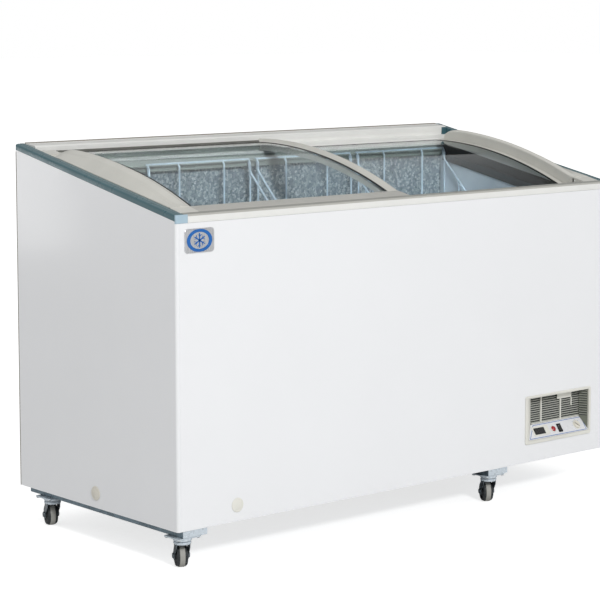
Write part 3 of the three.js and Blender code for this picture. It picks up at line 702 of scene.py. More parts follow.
def rails():
    """Ribbed extrusions along the front and the back."""
    low, top, deep = FRONT_RAIL.z0, FRONT_RAIL.z1, FRONT_RAIL.y1
    front = rounded([
        (0, low, 0.8), (deep, low, 0.2), (deep, top - 4.0, 0.2), (0.5, top - 4.0, 0.2),
        (0.5, top - 4.9, 0.2), (0, top - 5.2, 0.2),
        (0, low + 3.4, 0.2), (0.6, low + 3.0, 0.2), (0.6, low + 2.2, 0.2), (0, low + 1.8, 0.2),
    ], 0.3)
    piece("front_rail_extrusion", [along_x(front, FRONT_RAIL.x0, FRONT_RAIL.x1)], "rail", ["front_rail"])
    # The brow is in the darker beige: painted shade on the rail's top.
    brow = rounded([(0.2, top - 4.2), (deep, top - 4.2), (deep, top), (2.6, top - 0.3), (0.2, top - 2.6)],
                   0.7)
    piece("front_rail_brow", [along_x(brow, FRONT_RAIL.x0, FRONT_RAIL.x1)], "strip")
    base, face, step, lip = BACK_RAIL.z0, RAIL_FACE, RAIL_STEP, BACK_RAIL.y0
    inset, shadow_line = DEPTH - 2.3, BACK_RAIL.z1 - 17
    back = rounded([
        (lip, base, 0.4), (inset, base, 0.4), (inset, shadow_line, 0.2), (DEPTH, shadow_line, 0.8),
        (DEPTH, 875, 1.6), (594, 874.2, 0.4), (593, 873.2, 0.3), (591, 873.2, 0.3), (590, 873.6, 0.4),
        (561, 871, 2.0), (face, 868.5, 1.5), (face, 858.0, 0.3), (face + 0.8, 857.4, 0.3),
        (face + 0.8, 849.2, 0.3), (face, 848.9, 0.6), (step, 848.9, 1.2), (step, 832.4, 0.6),
        (lip, 832.4, 1.2),
    ], 0.6)
    piece("back_rail_extrusion", [along_x(back, BACK_RAIL.x0, BACK_RAIL.x1)], "rail", ["back_rail"])
    keep(("front_track",), "track", 0.8)
    keep(("front_collar", "back_collar"), "collar", 0.9)
    keep(("left_track_seal", "right_track_seal"), "seal", 0.8)
    # Inner trims in the darker teal: painted shade.
    keep(("left_inner_trim", "right_inner_trim"), "teal_dark", 0.8)


CAP_RADIUS = 1180.0
CAP_CROWN_Y = 530.0
CAP_CROWN_Z = 867.0
CAP_NOSE, CAP_BACK = 52.0, 510.0
NOSE_ROUND, BACK_ROUND = 17.0, 60.0
BACK_SINK = 16.0           # how far the back end rounds down
TOE_Z = 750.2              # underside of the foot in front of the nose
CAP_FOOT = 29.7            # how far a cap reaches below the sloped top


def cap_crest(y):
    """Height of an end cap's ridge, rounded down at its nose and at its back."""
    z = CAP_CROWN_Z - CAP_RADIUS + math.sqrt(CAP_RADIUS ** 2 - (y - CAP_CROWN_Y) ** 2)
    ahead = max(0.0, 1 - (y - CAP_NOSE) / NOSE_ROUND)
    behind = max(0.0, 1 - (CAP_BACK - y) / BACK_ROUND)
    return z - NOSE_ROUND * (1 - math.sqrt(1 - ahead ** 2)) - BACK_SINK * (1 - math.sqrt(1 - behind ** 2))


def cap_section(y):
    """Section of an end cap at y: sloped outer face, crease, crest and a rounded inner face."""
    top, foot = cap_crest(y), plane(y) + 0.6
    outer, inner = CAP.x0, CAP.x1
    behind = max(0.0, 1 - (CAP_BACK - y) / BACK_ROUND)
    low = foot - BACK_SINK * (1 - math.sqrt(1 - behind ** 2))
    crease = max(low + 0.8, top - 7.5)
    corners = [
        (outer, plane(y, CAP_FOOT), 0), (inner, plane(y, CAP_FOOT), 0),
        (inner, max(top - 3.5, low + 0.9), 4.5), (inner - 9, max(top + 0.6, low + 1.4), 7.0),
        (51.5, crease + 2.4, 1.2), (47.5, crease - 1.2, 0.6),
        (outer + 3, low + 0.3, 0.8), (outer, low, 0.3),
    ]
    return [(x, y, z) for x, z in rounded(corners, 1.0, 3)]


def end_caps():
    """Moulded covers over the ends of the tracks, and the fillers beside them."""
    nose, back = CAP_NOSE, CAP_BACK
    stations = [nose + NOSE_ROUND * (1 - math.cos(math.pi / 2 * i / 6)) for i in range(6)]
    flat = back - BACK_ROUND - nose - NOSE_ROUND
    stations += [nose + NOSE_ROUND + flat * i / 26 for i in range(27)]
    stations += [back - BACK_ROUND * (1 - math.sin(math.pi / 2 * i / 10)) for i in range(1, 11)]
    cover = loft([cap_section(y) for y in stations])
    toe_front = UPPER_LID.y0 + 0.5
    toe = rounded([
        (toe_front, TOE_Z, 0.5), (nose + 4, TOE_Z, 0.5), (nose + 4, plane(nose) + 0.9, 0.5),
        (toe_front, plane(toe_front) - 1.2, 1.6),
    ], 1.0)
    foot = along_x(toe, CAP.x0, CAP.x1)
    for side, flip in SIDES:
        piece(f"{side}_end_cover", [flip(cover), flip(foot)], "cover", [f"{side}_end_cap"])
    end0, end1, face, step = LENGTH - 40, LENGTH - TRIM.x1 - 0.5, RAIL_FACE, RAIL_STEP
    plates = [block(end0, end1, step - 0.8, step + 0.2, 832.6, 849.7),
              block(end0, end1, step - 0.8, face + 0.2, 848.8, 849.7),
              block(end0, end1, face - 0.8, face + 0.2, 849.0, 867.5)]
    piece("rail_end_plates", plates, "teal")
    infill = along_y(rectangle(CAP.x0 + 0.2, CAP.x1 - 12, 0, 5), back - 8, 540, SLOPE)
    infill = moved(infill, shift(0, 0, plane(back - 8, 7)))
    piece("left_track_infill", [infill], "cover")


# ---- lids
LID_RADIUS = 1110.0
LID_CROWN_Y = 515.0
LID_CROWN_Z = UPPER_LID.z1
BAR = 18.0                 # width of the side and rear bars
FRAME_THICK = 13.0
GLASS_DROP = 8.5           # glass below the top of the frame
GLASS_THICK = 4.0
STRIP_Y = 60.0             # where the flat front strip ends and the arc begins
LOWER_DROP = 17.0          # right lid below the left one


def arc_point(y_angle, depth):
    """(y, z) on the lid arc at an angle from straight up, `depth` below the frame's top."""
    radius = LID_RADIUS - depth
    centre_z = LID_CROWN_Z - LID_RADIUS
    return LID_CROWN_Y + radius * math.sin(y_angle), centre_z + radius * math.cos(y_angle)


def arc_angle(y, depth):
    return math.asin((y - LID_CROWN_Y) / (LID_RADIUS - depth))


def bar_outline():
    """Section of a side bar: (inwards, depth). Its top slopes down towards the glass."""
    return rounded([
        (0, FRAME_THICK, 0.6), (0, 0, 2.6), (4.5, 0.3, 3.0), (BAR - 1.5, 8.2, 1.2), (BAR, 9.4, 0.8),
        (BAR, FRAME_THICK, 0.5),
    ], 1.0)


def low_bar_outline():
    """Section of the flat side bar that runs under an end cap."""
    return rounded([(0, FRAME_THICK), (0, 8.0), (BAR - 1.5, 8.4), (BAR, 9.4), (BAR, FRAME_THICK)], 0.6)


def rear_bar_outline():
    """Section of the bar along the back of a lid, with a low step behind."""
    return rounded([(0, FRAME_THICK), (0, 4.2), (4.5, 4.2), (BAR - 1.5, 8.2), (BAR, 9.4),
                    (BAR, FRAME_THICK)], 0.8)


def gasket_outline():
    return rounded([(BAR - 0.6, 7.6), (BAR + 2.6, 7.9), (BAR + 2.6, 12.9), (BAR - 0.6, 12.9)], 0.7)


def curved_bar(outline, x_edge, inward, drop, y0, y1, steps=40):
    """(inwards, depth) outline swept along the lid arc."""
    a0, a1 = arc_angle(y0, drop), arc_angle(y1, drop)
    rings = []
    for i in range(steps + 1):
        a = a0 + (a1 - a0) * i / steps
        rings.append([(x_edge + inward * u, *arc_point(a, drop + w)) for u, w in outline])
    return loft(rings)


def lid(side, span, drop, body, rear_tone):
    """Curved glass lid: side bars, front strip, rear bar, glazing gasket and the bent pane.

    The bar on the lid's own side is the flat one that runs under an end cap.
    """
    x0, x1, front, rear = span.x0, span.x1, span.y0, span.y1
    start = STRIP_Y - 1
    bars = []
    for edge, inward, bar_side in ((x0, 1, "left"), (x1, -1, "right")):
        if bar_side == side:
            bars.append(curved_bar(low_bar_outline(), edge, inward, drop, start, rear - 0.4))
            bars.append(curved_bar(bar_outline(), edge, inward, drop, start, STRIP_Y + 11, 4))
        else:
            bars.append(curved_bar(bar_outline(), edge, inward, drop, start, rear - 0.4))
    top_z = arc_point(arc_angle(STRIP_Y, drop), drop)[1]
    marks = [(front, -5, 1.0), (front, 0, 2.2), (front + 8, 0, 0.4), (front + 9, -0.7, 0.3),
             (front + 10.5, -0.7, 0.3), (front + 11.5, 0, 0.4), (STRIP_Y, 0, 1.5)]
    strip = [(y, top_z + SLOPE * (y - STRIP_Y) + lift, radius) for y, lift, radius in marks]
    strip += [(STRIP_Y + 2.5, top_z - 2.8, 0.8), (STRIP_Y + 2.5, top_z - 5, 0.5)]
    rear_y, rear_z = arc_point(arc_angle(rear - 0.2, drop), drop)
    rear_bar = [(rear_y - u, rear_z - w) for u, w in rear_bar_outline()]
    piece(f"{side}_lid_mouldings", bars, "beige", [f"{side}_lid_frame"], body=body)
    # The front strip is in the darker beige: painted shade.
    piece(f"{side}_lid_front_strip", [along_x(rounded(strip, 0.8), x0 + 0.2, x1 - 0.2)], "strip",
          body=body)
    piece(f"{side}_lid_rear_bar", [along_x(rear_bar, x0 + 0.3, x1 - 0.3)], rear_tone, body=body)
    rear_gasket = [(rear_y - u, rear_z - w) for u, w in gasket_outline()]
    gaskets = [curved_bar(gasket_outline(), x0, 1, drop, STRIP_Y, rear - BAR),
               curved_bar(gasket_outline(), x1, -1, drop, STRIP_Y, rear - BAR),
               along_x(rear_gasket, x0 + BAR, x1 - BAR)]
    piece(f"{side}_lid_gasket", gaskets, "seal", body=body)
    pane = rectangle(BAR + 0.4, x1 - x0 - BAR - 0.4, GLASS_DROP, GLASS_DROP + GLASS_THICK)
    glass = curved_bar(pane, x0, 1, drop, STRIP_Y + 0.5, rear - BAR - 0.4)
    piece(f"{side}_lid_pane", [glass], "glass", [f"{side}_lid_glass"], body=body)


def lids():
    # The left lid's rear bar is painted dark grey as shade.
    lid("left", UPPER_LID, 0.0, "left_lid", "rear_bar_shade")
    # The right lid's rear bar takes the rail's white, not the frame's beige: painted light.
    lid("right", LOWER_LID, LOWER_DROP, "right_lid", "rail")
    # Grey sheet on the left lid in front of the rail's white step: painted shade seen through the glass.
    shade_sheet = block(UPPER_LID.x0 + 2, UPPER_LID.x1 - 2, 538.7, 540.2, 834.5, 850.6, 0.5)
    piece("left_lid_shade_sheet", [shade_sheet], "shade_sheet", body="left_lid")


# ---- tub
SHELF_X, SHELF_Z = 965.0, 436.0          # step over the machinery
WALL_FRONT, WALL_BACK = 711.0, 826.0     # top edges of the tub's walls


def embossed_sheet(origin, across, up, width, height, cell):
    """Flat sheet of hammered relief, `across` x `up` points into the tub."""
    origin, across, up = Vector(origin), Vector(across), Vector(up)
    out = across.cross(up).normalized()
    columns, rows = max(2, round(width / cell)), max(2, round(height / cell))
    points, faces = [], []
    for j in range(rows + 1):
        for i in range(columns + 1):
            p = origin + across * (width * i / columns) + up * (height * j / rows)
            rim = min(i, columns - i, j, rows - j)
            relief = noise.noise(p * 0.11) * 0.75 + noise.noise(p * 0.045) * 0.35
            points.append(tuple(p + out * (relief * min(1.0, rim / 2))))
            if i < columns and j < rows:
                a = j * (columns + 1) + i
                faces.append([a, a + 1, a + columns + 2, a + columns + 1])
    return points, faces


def tub():
    """The liner: embossed walls and stepped floor, a smooth right wall, gussets and corner beads."""
    inset = 1.5
    x0, x1 = LINER.x0 + inset, LINER.x1 - inset
    y0, y1 = LINER.y0 + inset, LINER.y1 - inset
    z0 = LINER.z0 + inset
    step_x, step_z = SHELF_X - inset, SHELF_Z + inset
    right, back, up = (1, 0, 0), (0, 1, 0), (0, 0, 1)
    forward, left = (0, -1, 0), (-1, 0, 0)
    sheets = [
        embossed_sheet((x1, y1, z0), left, up, x1 - x0, WALL_BACK - z0, 5.0),
        embossed_sheet((x0, y0, z0), right, up, x1 - x0, WALL_FRONT - z0, 8.0),
        embossed_sheet((x0, y1, z0), forward, up, y1 - y0, WALL_FRONT - z0, 8.0),
        embossed_sheet((step_x, y0, z0), back, up, y1 - y0, step_z - z0, 8.0),
        embossed_sheet((x0, y0, z0), right, back, step_x - x0, y1 - y0, 8.0),
        embossed_sheet((step_x, y0, step_z), right, back, x1 - step_x, y1 - y0, 8.0),
    ]
    liner = piece("embossed_liner", sheets, "liner", ["inner_liner"])
    thick = liner.modifiers.new("sheet", "SOLIDIFY")
    thick.thickness = 1.0 * MM
    thick.offset = -1.0
    wall = embossed_sheet((x1, y0, step_z), back, up, y1 - y0, WALL_FRONT - step_z, 12.0)
    wedge = [(y0, WALL_FRONT), (y1, WALL_FRONT), (y1, WALL_BACK)]
    piece("liner_right_wall", [wall, along_x(wedge, x1, x1 + 0.4)], "smooth_liner")
    piece("liner_left_gusset", [along_x(wedge, x0, x0 + 0.4)], "liner")
    beads = []
    for x, foot in ((x0, z0), (x1, step_z)):
        for y, head in ((y0, WALL_FRONT), (y1, WALL_BACK)):
            beads.append(tube([(x, y, foot), (x, y, head)], 3.0, 12))
    floor_line = [(x0, z0), (step_x, z0), (step_x, step_z), (x1, step_z)]
    for y in (y0, y1):
        beads.append(tube(bent([(x, y, z) for x, z in floor_line], 4.0), 2.4, 10))
    for x, z in floor_line:
        beads.append(tube([(x, y0, z), (x, y1, z)], 2.4, 10))
    piece("liner_corner_beads", beads, "liner")
    keep(("insulation",), "foam", 0.6)


# ---- baskets
FRAME_WIRE = 2.7
GRID_WIRE = 1.8
DIP_Z = 640.0                             # side rail along the middle of the basket
FRONT_RIM_Z = 703.6
MID_WIRE_Z = 684.0
BACK_WIRES = (0.0, 0.293, 0.736, 1.0)     # verticals, as shares of the basket's width
FLOOR_WIRES = (0.15, 0.5, 0.87)           # wires that only cross the floor


def wire_basket(side):
    """Welded wire basket hung from both ledges by its front and back rims."""
    span = Span(f"{side}_basket")
    x0, x1 = span.x0 + FRAME_WIRE, span.x1 - FRAME_WIRE
    front, back = span.y0 + 13, span.y1 - 11
    floor, rim_back, rim_y = span.z0 + FRAME_WIRE, span.z1 - FRAME_WIRE, span.y1 - 2.5
    shoulder = rim_back - 30
    thick, thin = [], []
    side_line = [(rim_y, rim_back), (back, shoulder), (back - (shoulder - DIP_Z), DIP_Z),
                 (front + 70, DIP_Z), (front, FRONT_RIM_Z)]

    def side_height(y):
        """Height of the side rail at y."""
        points = side_line[::-1]
        for (ya, za), (yb, zb) in zip(points, points[1:]):
            if ya <= y <= yb and yb > ya:
                return za + (zb - za) * (y - ya) / (yb - ya)
        return rim_back

    for x in (x0, x1):
        thick.append(tube(bent([(x, y, z) for y, z in side_line], 9.0), FRAME_WIRE, 10))
    for y, z in ((rim_y, rim_back), (front - 6, FRONT_RIM_Z)):
        thick.append(tube([(span.x0, y, z), (span.x1, y, z)], FRAME_WIRE, 10))
    for share in sorted((*BACK_WIRES, *FLOOR_WIRES)):
        x = x0 + (x1 - x0) * share
        path = [(x, back, floor), (x, front, floor)]
        if share in BACK_WIRES:
            path = [(x, rim_y, rim_back), (x, back, rim_back - 8), *path, (x, front, FRONT_RIM_Z)]
            thick.append(tube(bent(path, 12.0), 2.3, 8))
        else:
            thin.append(tube(bent(path, 12.0), GRID_WIRE, 8))
    for z in (floor + 42, DIP_Z, MID_WIRE_Z):
        for y in (front + 1.5, back - 1.5):
            thin.append(tube([(x0, y, z), (x1, y, z)], GRID_WIRE, 8))
        if z < DIP_Z:
            for x in (x0, x1):
                thin.append(tube([(x, front, z), (x, back, z)], GRID_WIRE, 8))
    rows = 8
    for i in range(1, rows):
        y = front + (back - front) * i / rows
        z = side_height(y)
        path = [(x0, y, z), (x0, y, floor + 3), (x1, y, floor + 3), (x1, y, z)]
        thin.append(tube(bent(path, 10.0), GRID_WIRE, 8))
    piece(f"{side}_wire_basket", thick + thin, "wire", [f"{side}_basket"], body=f"{side}_hanging_basket")


def baskets():
    for side in ("left", "middle", "right"):
        wire_basket(side)


# ---- air intake and console
LOUVRE_PITCH = 5.5
UPRIGHTS_X = (1134.0, 1204.0)


def louvres():
    """Slanted louvre blades, upright bars and a plain blank tab in front of them."""
    x0, x1, y0, y1 = GRILLE.x0, GRILLE.x1, GRILLE.y0, GRILLE.y1
    z0, z1 = GRILLE.z0, GRILLE.z1
    blades = []
    for i in range(int((z1 - z0 - 3) / LOUVRE_PITCH)):
        z = z0 + 2.5 + i * LOUVRE_PITCH
        outline = [(y0 + 0.2, z), (y0 + 0.6, z - 0.7), (y1, z + 1.0), (y1 - 0.4, z + 1.8)]
        blades.append(along_x(rounded(outline, 0.3, 2), x0 - 3, x1 - 1))
    bars = [block(x - 1.7, x + 1.7, y0 - 0.6, y1, z0, z1, 0.6) for x in UPRIGHTS_X]
    bars.append(block(1241.8, 1244.2, y0 - 0.6, y1, 201.0, 222.0, 0.5))
    bars += [block(x0, x1, y0 - 0.3, y1, low, low + 1.8, 0.5) for low in (z0, z1 - 1.8)]
    # Blades in the darker bezel copy: painted shade.
    piece("louvre_blades", blades, "louvre", ["vent_grille"])
    piece("louvre_bars", bars, "bezel")
    # Black sheet behind the blades: painted shade inside the duct.
    painted_duct_shade = block(x0 + 0.5, x1 - 0.5, y1 + 0.2, y1 + 1.2, z0 + 0.5, z1 - 0.5)
    piece("duct_shadow_plate", [painted_duct_shade], "black")
    tab = block(1189, 1240, y0 - 3, y0 - 1.2, 224, 238, 2.5)
    stay = block(1209, 1220, y0 - 2, y0 + 0.5, 226, 232, 0.8)
    piece("blank_tab", [tab, stay], "bezel")
    side_duct()
    keep(("vent_frame",), "bezel", 0.9)


def side_duct():
    """Slanted right wall of the recess, painted dark as the shade in the recess, with rows of small air
    slots.
    """
    low, high = 171.2, 240.5
    deep, near = (1271.0, GRILLE.y0 - 0.8), (1280.6, 1.5)
    wall = [deep, near, (near[0] + 0.8, near[1]), (1281.4, deep[1])]
    feet = [low - 1.4 * (deep[1] - y) if y < deep[1] else low for _, y in wall]
    rings = [[(x, y, z) for (x, y), z in zip(wall, feet)], [(x, y, high) for x, y in wall]]
    # Wall in the dark bezel copy: painted shade.
    piece("duct_wall", [loft(rings)], "duct")
    along = Vector(near) - Vector(deep)
    turn = math.atan2(along.y, along.x)
    slot = block(-1.9, 1.9, -0.15, 0.4, -1.3, 1.3, 0.6)
    rib = block(-2.1, 2.1, -0.9, 0.2, 1.3, 2.3, 0.4)
    slots, ribs = [], []
    for column in range(5):
        x, y = Vector(deep) + along * (0.13 + 0.18 * column)
        for row in range(11):
            at = shift(x, y, low + 4 + 6.0 * row) @ spin(turn)
            slots.append(moved(slot, at))
            ribs.append(moved(rib, at))
    # Black patches for the slots: painted shade behind the openings.
    piece("duct_slots", slots, "black")
    # Ribs in the darker bezel copy: painted shade.
    piece("duct_ribs", ribs, "louvre")


CONSOLE_FOOT = (-1.0, 138.4)
CONSOLE_HEAD = (21.5, 170.5)
TILT = math.atan2(CONSOLE_HEAD[1] - CONSOLE_FOOT[1], CONSOLE_HEAD[0] - CONSOLE_FOOT[0])
CONSOLE = shift(0, *CONSOLE_FOOT) @ spin(TILT, "X")     # x along the panel, y up its slope
RISE = 18.5                # controls' middle line, up the slope
LAMP_X, ROCKER_X, KNOB_X = 1165, 1188, 1250


def console():
    """Switch panel: blue outline, thermometer, lamp, rocker and coin-slot knob."""
    keep(("console_panel",), "console", 0.5)
    console_outline()
    bezel = along_z(rectangle(1093, 1150, 7.4, 32.2, 3.5), 0.1, 1.7)
    window = along_z(rectangle(1097, 1134, 10.6, 28.0, 1.2), 0.5, 2.1)
    crystal = along_z(rectangle(1100, 1131, 13.2, 25.4, 0.6), 2.0, 2.3)
    piece("display_bezel", [moved(bezel, CONSOLE)], "bezel", ["thermometer_display"], soften=0.6)
    piece("display_window", [moved(window, CONSOLE)], "black", soften=0.3)
    piece("display_crystal", [moved(crystal, CONSOLE)], "enamel_black")
    r = 7.2
    ring = turned([(r + 1.3, 0.1), (r + 1.3, 1.0), (r, 1.8), (r - 0.6, 1.0), (r - 0.6, 0.1)], 36)
    dome = turned([(0, 0.2), (r - 0.7, 0.2), (r - 0.7, 2.4), (0.75 * r, 3.9), (0.4 * r, 4.7),
                   (0, 5.0)], 36)
    at_lamp = CONSOLE @ shift(LAMP_X, RISE, 0)
    piece("lamp_ring", [moved(ring, at_lamp)], "bezel")
    piece("lamp_lens", [moved(dome, at_lamp)], "lamp", ["indicator_lamp"])
    rocker()
    knob()


def console_outline():
    """Thin printed line round the panel, slanted at its left end."""
    panel = Span("console_panel")
    low, high = 2.6, 36.4
    left_low, left_high = panel.x0 + 6.5, panel.x0 + 6.5 + 31 * (high / 39)
    right = panel.x1 - 5
    loop = [Vector(p) for p in ((left_low, low), (right, low), (right, high), (left_high, high))]
    half = 0.7
    strips = []
    for a, b in zip(loop, loop[1:] + loop[:1]):
        side = Vector((-(b - a).y, (b - a).x)).normalized() * half
        along = (b - a).normalized() * half
        corners = [a - along - side, b + along - side, b + along + side, a - along + side]
        strips.append(moved(along_z([tuple(c) for c in corners], 0.02, 0.2), CONSOLE))
    piece("console_outline", strips, "blue")


def rocker():
    """Black rocker: a fixed frame and the tilting key with its pale mark."""
    at = CONSOLE @ shift(ROCKER_X, RISE, 0)
    w, h, wall = 6.8, 11.2, 1.3
    outer = rectangle(-w, w, -h, h, 1.4)
    inner = rectangle(-w + wall, w - wall, -h + wall, h - wall, 0.8)
    rings = [[(x, y, z) for x, y in outline]
             for outline, z in ((outer, 0.1), (outer, 1.2), (inner, 1.2), (inner, -3.0))]
    frame_ring = loft(rings, caps=False, loop=True)
    piece("rocker_frame", [moved(frame_ring, at)], "black", soften=0.2)
    half = 8.7
    profile = rounded([(-half, 2.6), (-half, -1.5), (0, -3.3), (half, -1.5), (half, 2.6), (0, 1.3, 14)],
                      0.5)
    key = along_x(profile, -5.2, 5.2)
    tilted = at @ spin(math.radians(-8), "X")
    piece("rocker_key", [moved(key, tilted)], "enamel_black", ["power_switch"], body="power_rocker",
          soften=0.4)
    mark = block(-0.3, 0.3, 3.6, 6.0, 1.95, 2.25)
    piece("rocker_mark", [moved(mark, tilted)], "console", body="power_rocker")


def knob():
    """Coin-slot thermostat spindle inside a pale ring with plain tick marks."""
    at = CONSOLE @ shift(KNOB_X, RISE, 0)
    r = 9.5
    ring = turned([(r + 2.6, 0.05), (r + 2.6, 0.9), (r + 1.9, 1.4), (r + 0.6, 1.4), (r + 0.3, 0.05)], 48)
    piece("knob_ring", [moved(ring, at)], "bezel")
    half, floor, top, reach = 1.3, 1.2, 3.3, 0.78 * r
    wide = half + 0.1
    spindle = []
    for side in (-1, 1):
        angles = [side * (0.14 + (math.pi - 0.28) * i / 24) for i in range(25)]
        spindle.append(along_z([(math.cos(a) * r, math.sin(a) * r) for a in angles], 0.2, top))
    spindle += [along_z(rectangle(-r * 0.99, -reach, -wide, wide, 0.1), 0.2, top),
                along_z(rectangle(reach, r * 0.99, -wide, wide, 0.1), 0.2, top),
                along_z(rectangle(-reach, reach, -wide, wide), 0.2, floor)]
    slot_at = at @ spin(-math.pi / 4)
    piece("knob_spindle", [moved(s, slot_at) for s in spindle], "plug", ["thermostat_knob"],
          body="thermostat", soften=0.3)
    # A thin black sheet on the slot's floor: painted shade in the coin slot.
    slot = along_z(rectangle(-reach, reach, -half, half), floor, floor + 0.12)
    piece("knob_slot_shade", [moved(slot, slot_at)], "black", body="thermostat")
    tick = block(r + 3.4, r + 5.2, -0.25, 0.25, 0.02, 0.25)
    angles = [math.radians(-135 + 45 * i) + math.pi / 2 for i in range(7)]
    piece("knob_ticks", [moved(tick, at @ spin(a)) for a in angles], "blue")


# ---- plugs and badge
def drain_plugs():
    """Domed push-in plugs with a stepped rim."""
    r = 15.8
    head = turned([(0, -13), (7, -13), (9.2, -11), (9.2, 0.3), (r - 0.6, 0.3), (r, 0.9), (r, 1.3),
                   (r - 1.0, 2.0), (r - 3.4, 2.1), (r - 4.2, 1.7), (r - 5.2, 2.2), (5, 2.8), (0, 3.0)], 48)
    for side, direction, axis, tone in (("front", (0, -1, 0), 1, "bezel"), ("side", (-1, 0, 0), 0, "plug")):
        middle = Span(f"{side}_drain_plug").middle
        middle[axis] = 0.0
        piece(f"{side}_plug_moulding", [moved(head, facing(direction, *middle))], tone,
              [f"{side}_drain_plug"], body=f"{side}_plug")


def badge():
    """Brushed plate with a raised rim and a plain six-armed frost emblem in a blue ring."""
    span = Span("badge_plate")
    w, h = (span.x1 - span.x0) / 2, (span.z1 - span.z0) / 2
    at = facing((0, -1, 0), span.middle[0], 0, span.middle[2])
    steps = ((0, 9, 0.3), (0, 9, 1.6), (0.8, 8.4, 2.2), (2.0, 7.4, 2.2), (2.6, 7, 1.7))
    rings = [[(x, y, z) for x, y in rectangle(inset - w, w - inset, inset - h, h - inset, radius, 8)]
             for inset, radius, z in steps]
    piece("badge_plate_rim", [moved(loft(rings), at)], "silver", ["badge_plate"])
    emblem = []
    reach = 0.6 * h
    lift = shift(0, 0.52 * reach, 0)
    arm = along_z([(-1.5, 0), (1.5, 0), (1.2, reach), (-1.2, reach)], 1.6, 2.3)
    for i in range(6):
        turn = spin(math.pi / 3 * i)
        emblem.append(moved(arm, at @ turn))
        for sign in (-1, 1):
            tip = along_z([(0, 0), (1.1, -0.3), (sign * 5 + 0.9, 4.6), (sign * 5 - 0.7, 5.4)], 1.6, 2.25)
            emblem.append(moved(tip, at @ turn @ lift))
    outer, inner = 0.95 * h, 0.7 * h
    points, faces = turned([(outer, 1.6), (outer, 2.1), (outer - 0.5, 2.5), (inner + 0.5, 2.5),
                            (inner, 2.1), (inner, 1.6)], 56)
    emblem.append(moved(([(x * 1.38, y, z) for x, y, z in points], faces), at))
    piece("badge_emblem", emblem, "emblem")


# ---- undercarriage
SPOTS = ("front_left", "back_left", "front_right", "back_right")
WHEEL_RADIUS = 25.0
TRAIL = 18.0               # hub behind the swivel's axis


def joint_named(name):
    return next(j for j in frame["joints"] if j["name"] == name)


def caster(spot):
    """Swivel caster: pressed plate, ball race, forked legs, axle and wheel with a worn tread."""
    pivot = joint_named(f"{spot}_caster_swivel")["pos_m"]
    roll = joint_named(f"{spot}_caster_roll")
    hub = roll["pos_m"]
    turn = spin(math.atan2(roll["axis"][1], roll["axis"][0]))
    still = shift(pivot[0] / MM + SHIFT_X, pivot[1] / MM + SHIFT_Y, 0)
    plate = along_z(rectangle(-24, 38, -19, 35, 5), 67.3, 69.7)
    race = turned([(0, 61.5), (16.5, 61.5), (19.6, 62.3), (20.4, 64), (20.4, 66.5), (19, 68.2),
                   (0, 68.2)], 40)
    # Plate and race in the paler zinc: painted light.
    piece(f"{spot}_plate_pressing", [moved(plate, still), moved(race, still)], "bright",
          [f"{spot}_caster_plate"], soften=0.4)
    nut = turned([(0, 64.6), (3.6, 64.6), (4.4, 65.2), (4.4, 67.2), (0, 67.2)], 6)
    bolts = [moved(nut, still @ shift(x, y, 0)) for x in (-19, 32) for y in (-14, 30)]
    piece(f"{spot}_plate_bolts", bolts, "zinc")
    fork(spot, still @ turn)
    wheel(spot, shift(hub[0] / MM + SHIFT_X, hub[1] / MM + SHIFT_Y, hub[2] / MM) @ turn)


def fork(spot, swivel):
    """Pressed fork: crown with a rolled rim, two tapering legs, axle bolt and nut."""
    crown = turned([(0, 54), (15, 54), (18.2, 54.8), (19.2, 56.5), (19.2, 58.8), (17.6, 60.6),
                    (0, 60.6)], 40)
    shapes = []
    leg = rounded([(-13, 57), (-11, 47), (8.5, 27), (10, 17.5), (18, 14.5), (26, 17.5), (27, 28),
                   (14.5, 48), (13.5, 57)], 5.0)
    top = rectangle(-12.5, 13, 53, 57.5, 2.0)
    for side in (-1, 1):
        shapes.append(along_x(leg, side * 13.6, side * 15.4))
        shapes.append(along_x(top, side * 6.0, side * 15.4))
    nut = turned([(0, 15.2), (6.2, 15.2), (6.8, 16), (6.8, 18), (6.0, 19.0), (0, 19.0)], 6)
    head = turned([(0, 15.2), (6.4, 15.2), (6.4, 17), (5.2, 18.6), (0, 19.0)], 24)
    axle = turned([(0, -15.3), (3.9, -15.3), (3.9, 15.3), (0, 15.3)], 20)
    hub = shift(0, TRAIL, WHEEL_RADIUS)
    right, left = hub @ spin(math.pi / 2, "Y"), hub @ spin(-math.pi / 2, "Y")
    shapes += [moved(nut, right), moved(head, left), moved(axle, right)]
    # Fork legs in the darker zinc: painted shade.
    piece(f"{spot}_fork_pressing", [moved(s, swivel) for s in shapes], "steel", [f"{spot}_caster_fork"],
          body=f"{spot}_swivel", soften=0.3)
    # Crown in the paler zinc: painted light.
    piece(f"{spot}_fork_crown", [moved(crown, swivel)], "bright", body=f"{spot}_swivel")


def wheel(spot, hub):
    """Black wheel with recessed web and a worn, pale centre tread."""
    half, rim = 12.0, WHEEL_RADIUS
    tread = half - 6.4
    side = [(4.5, half + 0.5), (8.5, half + 0.5), (9, half - 1), (12, half - 3.4), (17, half - 3.4),
            (19.5, half - 0.6), (21.5, half), (rim - 1.9, half - 1.8), (rim - 0.35, tread)]
    profile = side + [(r, -h) for r, h in side[::-1]]
    band = [(rim - 1.2, -tread), (rim - 0.15, -tread), (rim, -tread + 0.7), (rim, tread - 0.7),
            (rim - 0.15, tread), (rim - 1.2, tread)]
    lay = hub @ spin(math.pi / 2, "Y")
    piece(f"{spot}_wheel_moulding", [moved(turned(profile, 48), lay)], "rubber",
          [f"{spot}_caster_wheel"], body=f"{spot}_roller")
    piece(f"{spot}_wheel_tread", [moved(turned(band, 48), lay)], "tread", body=f"{spot}_roller")


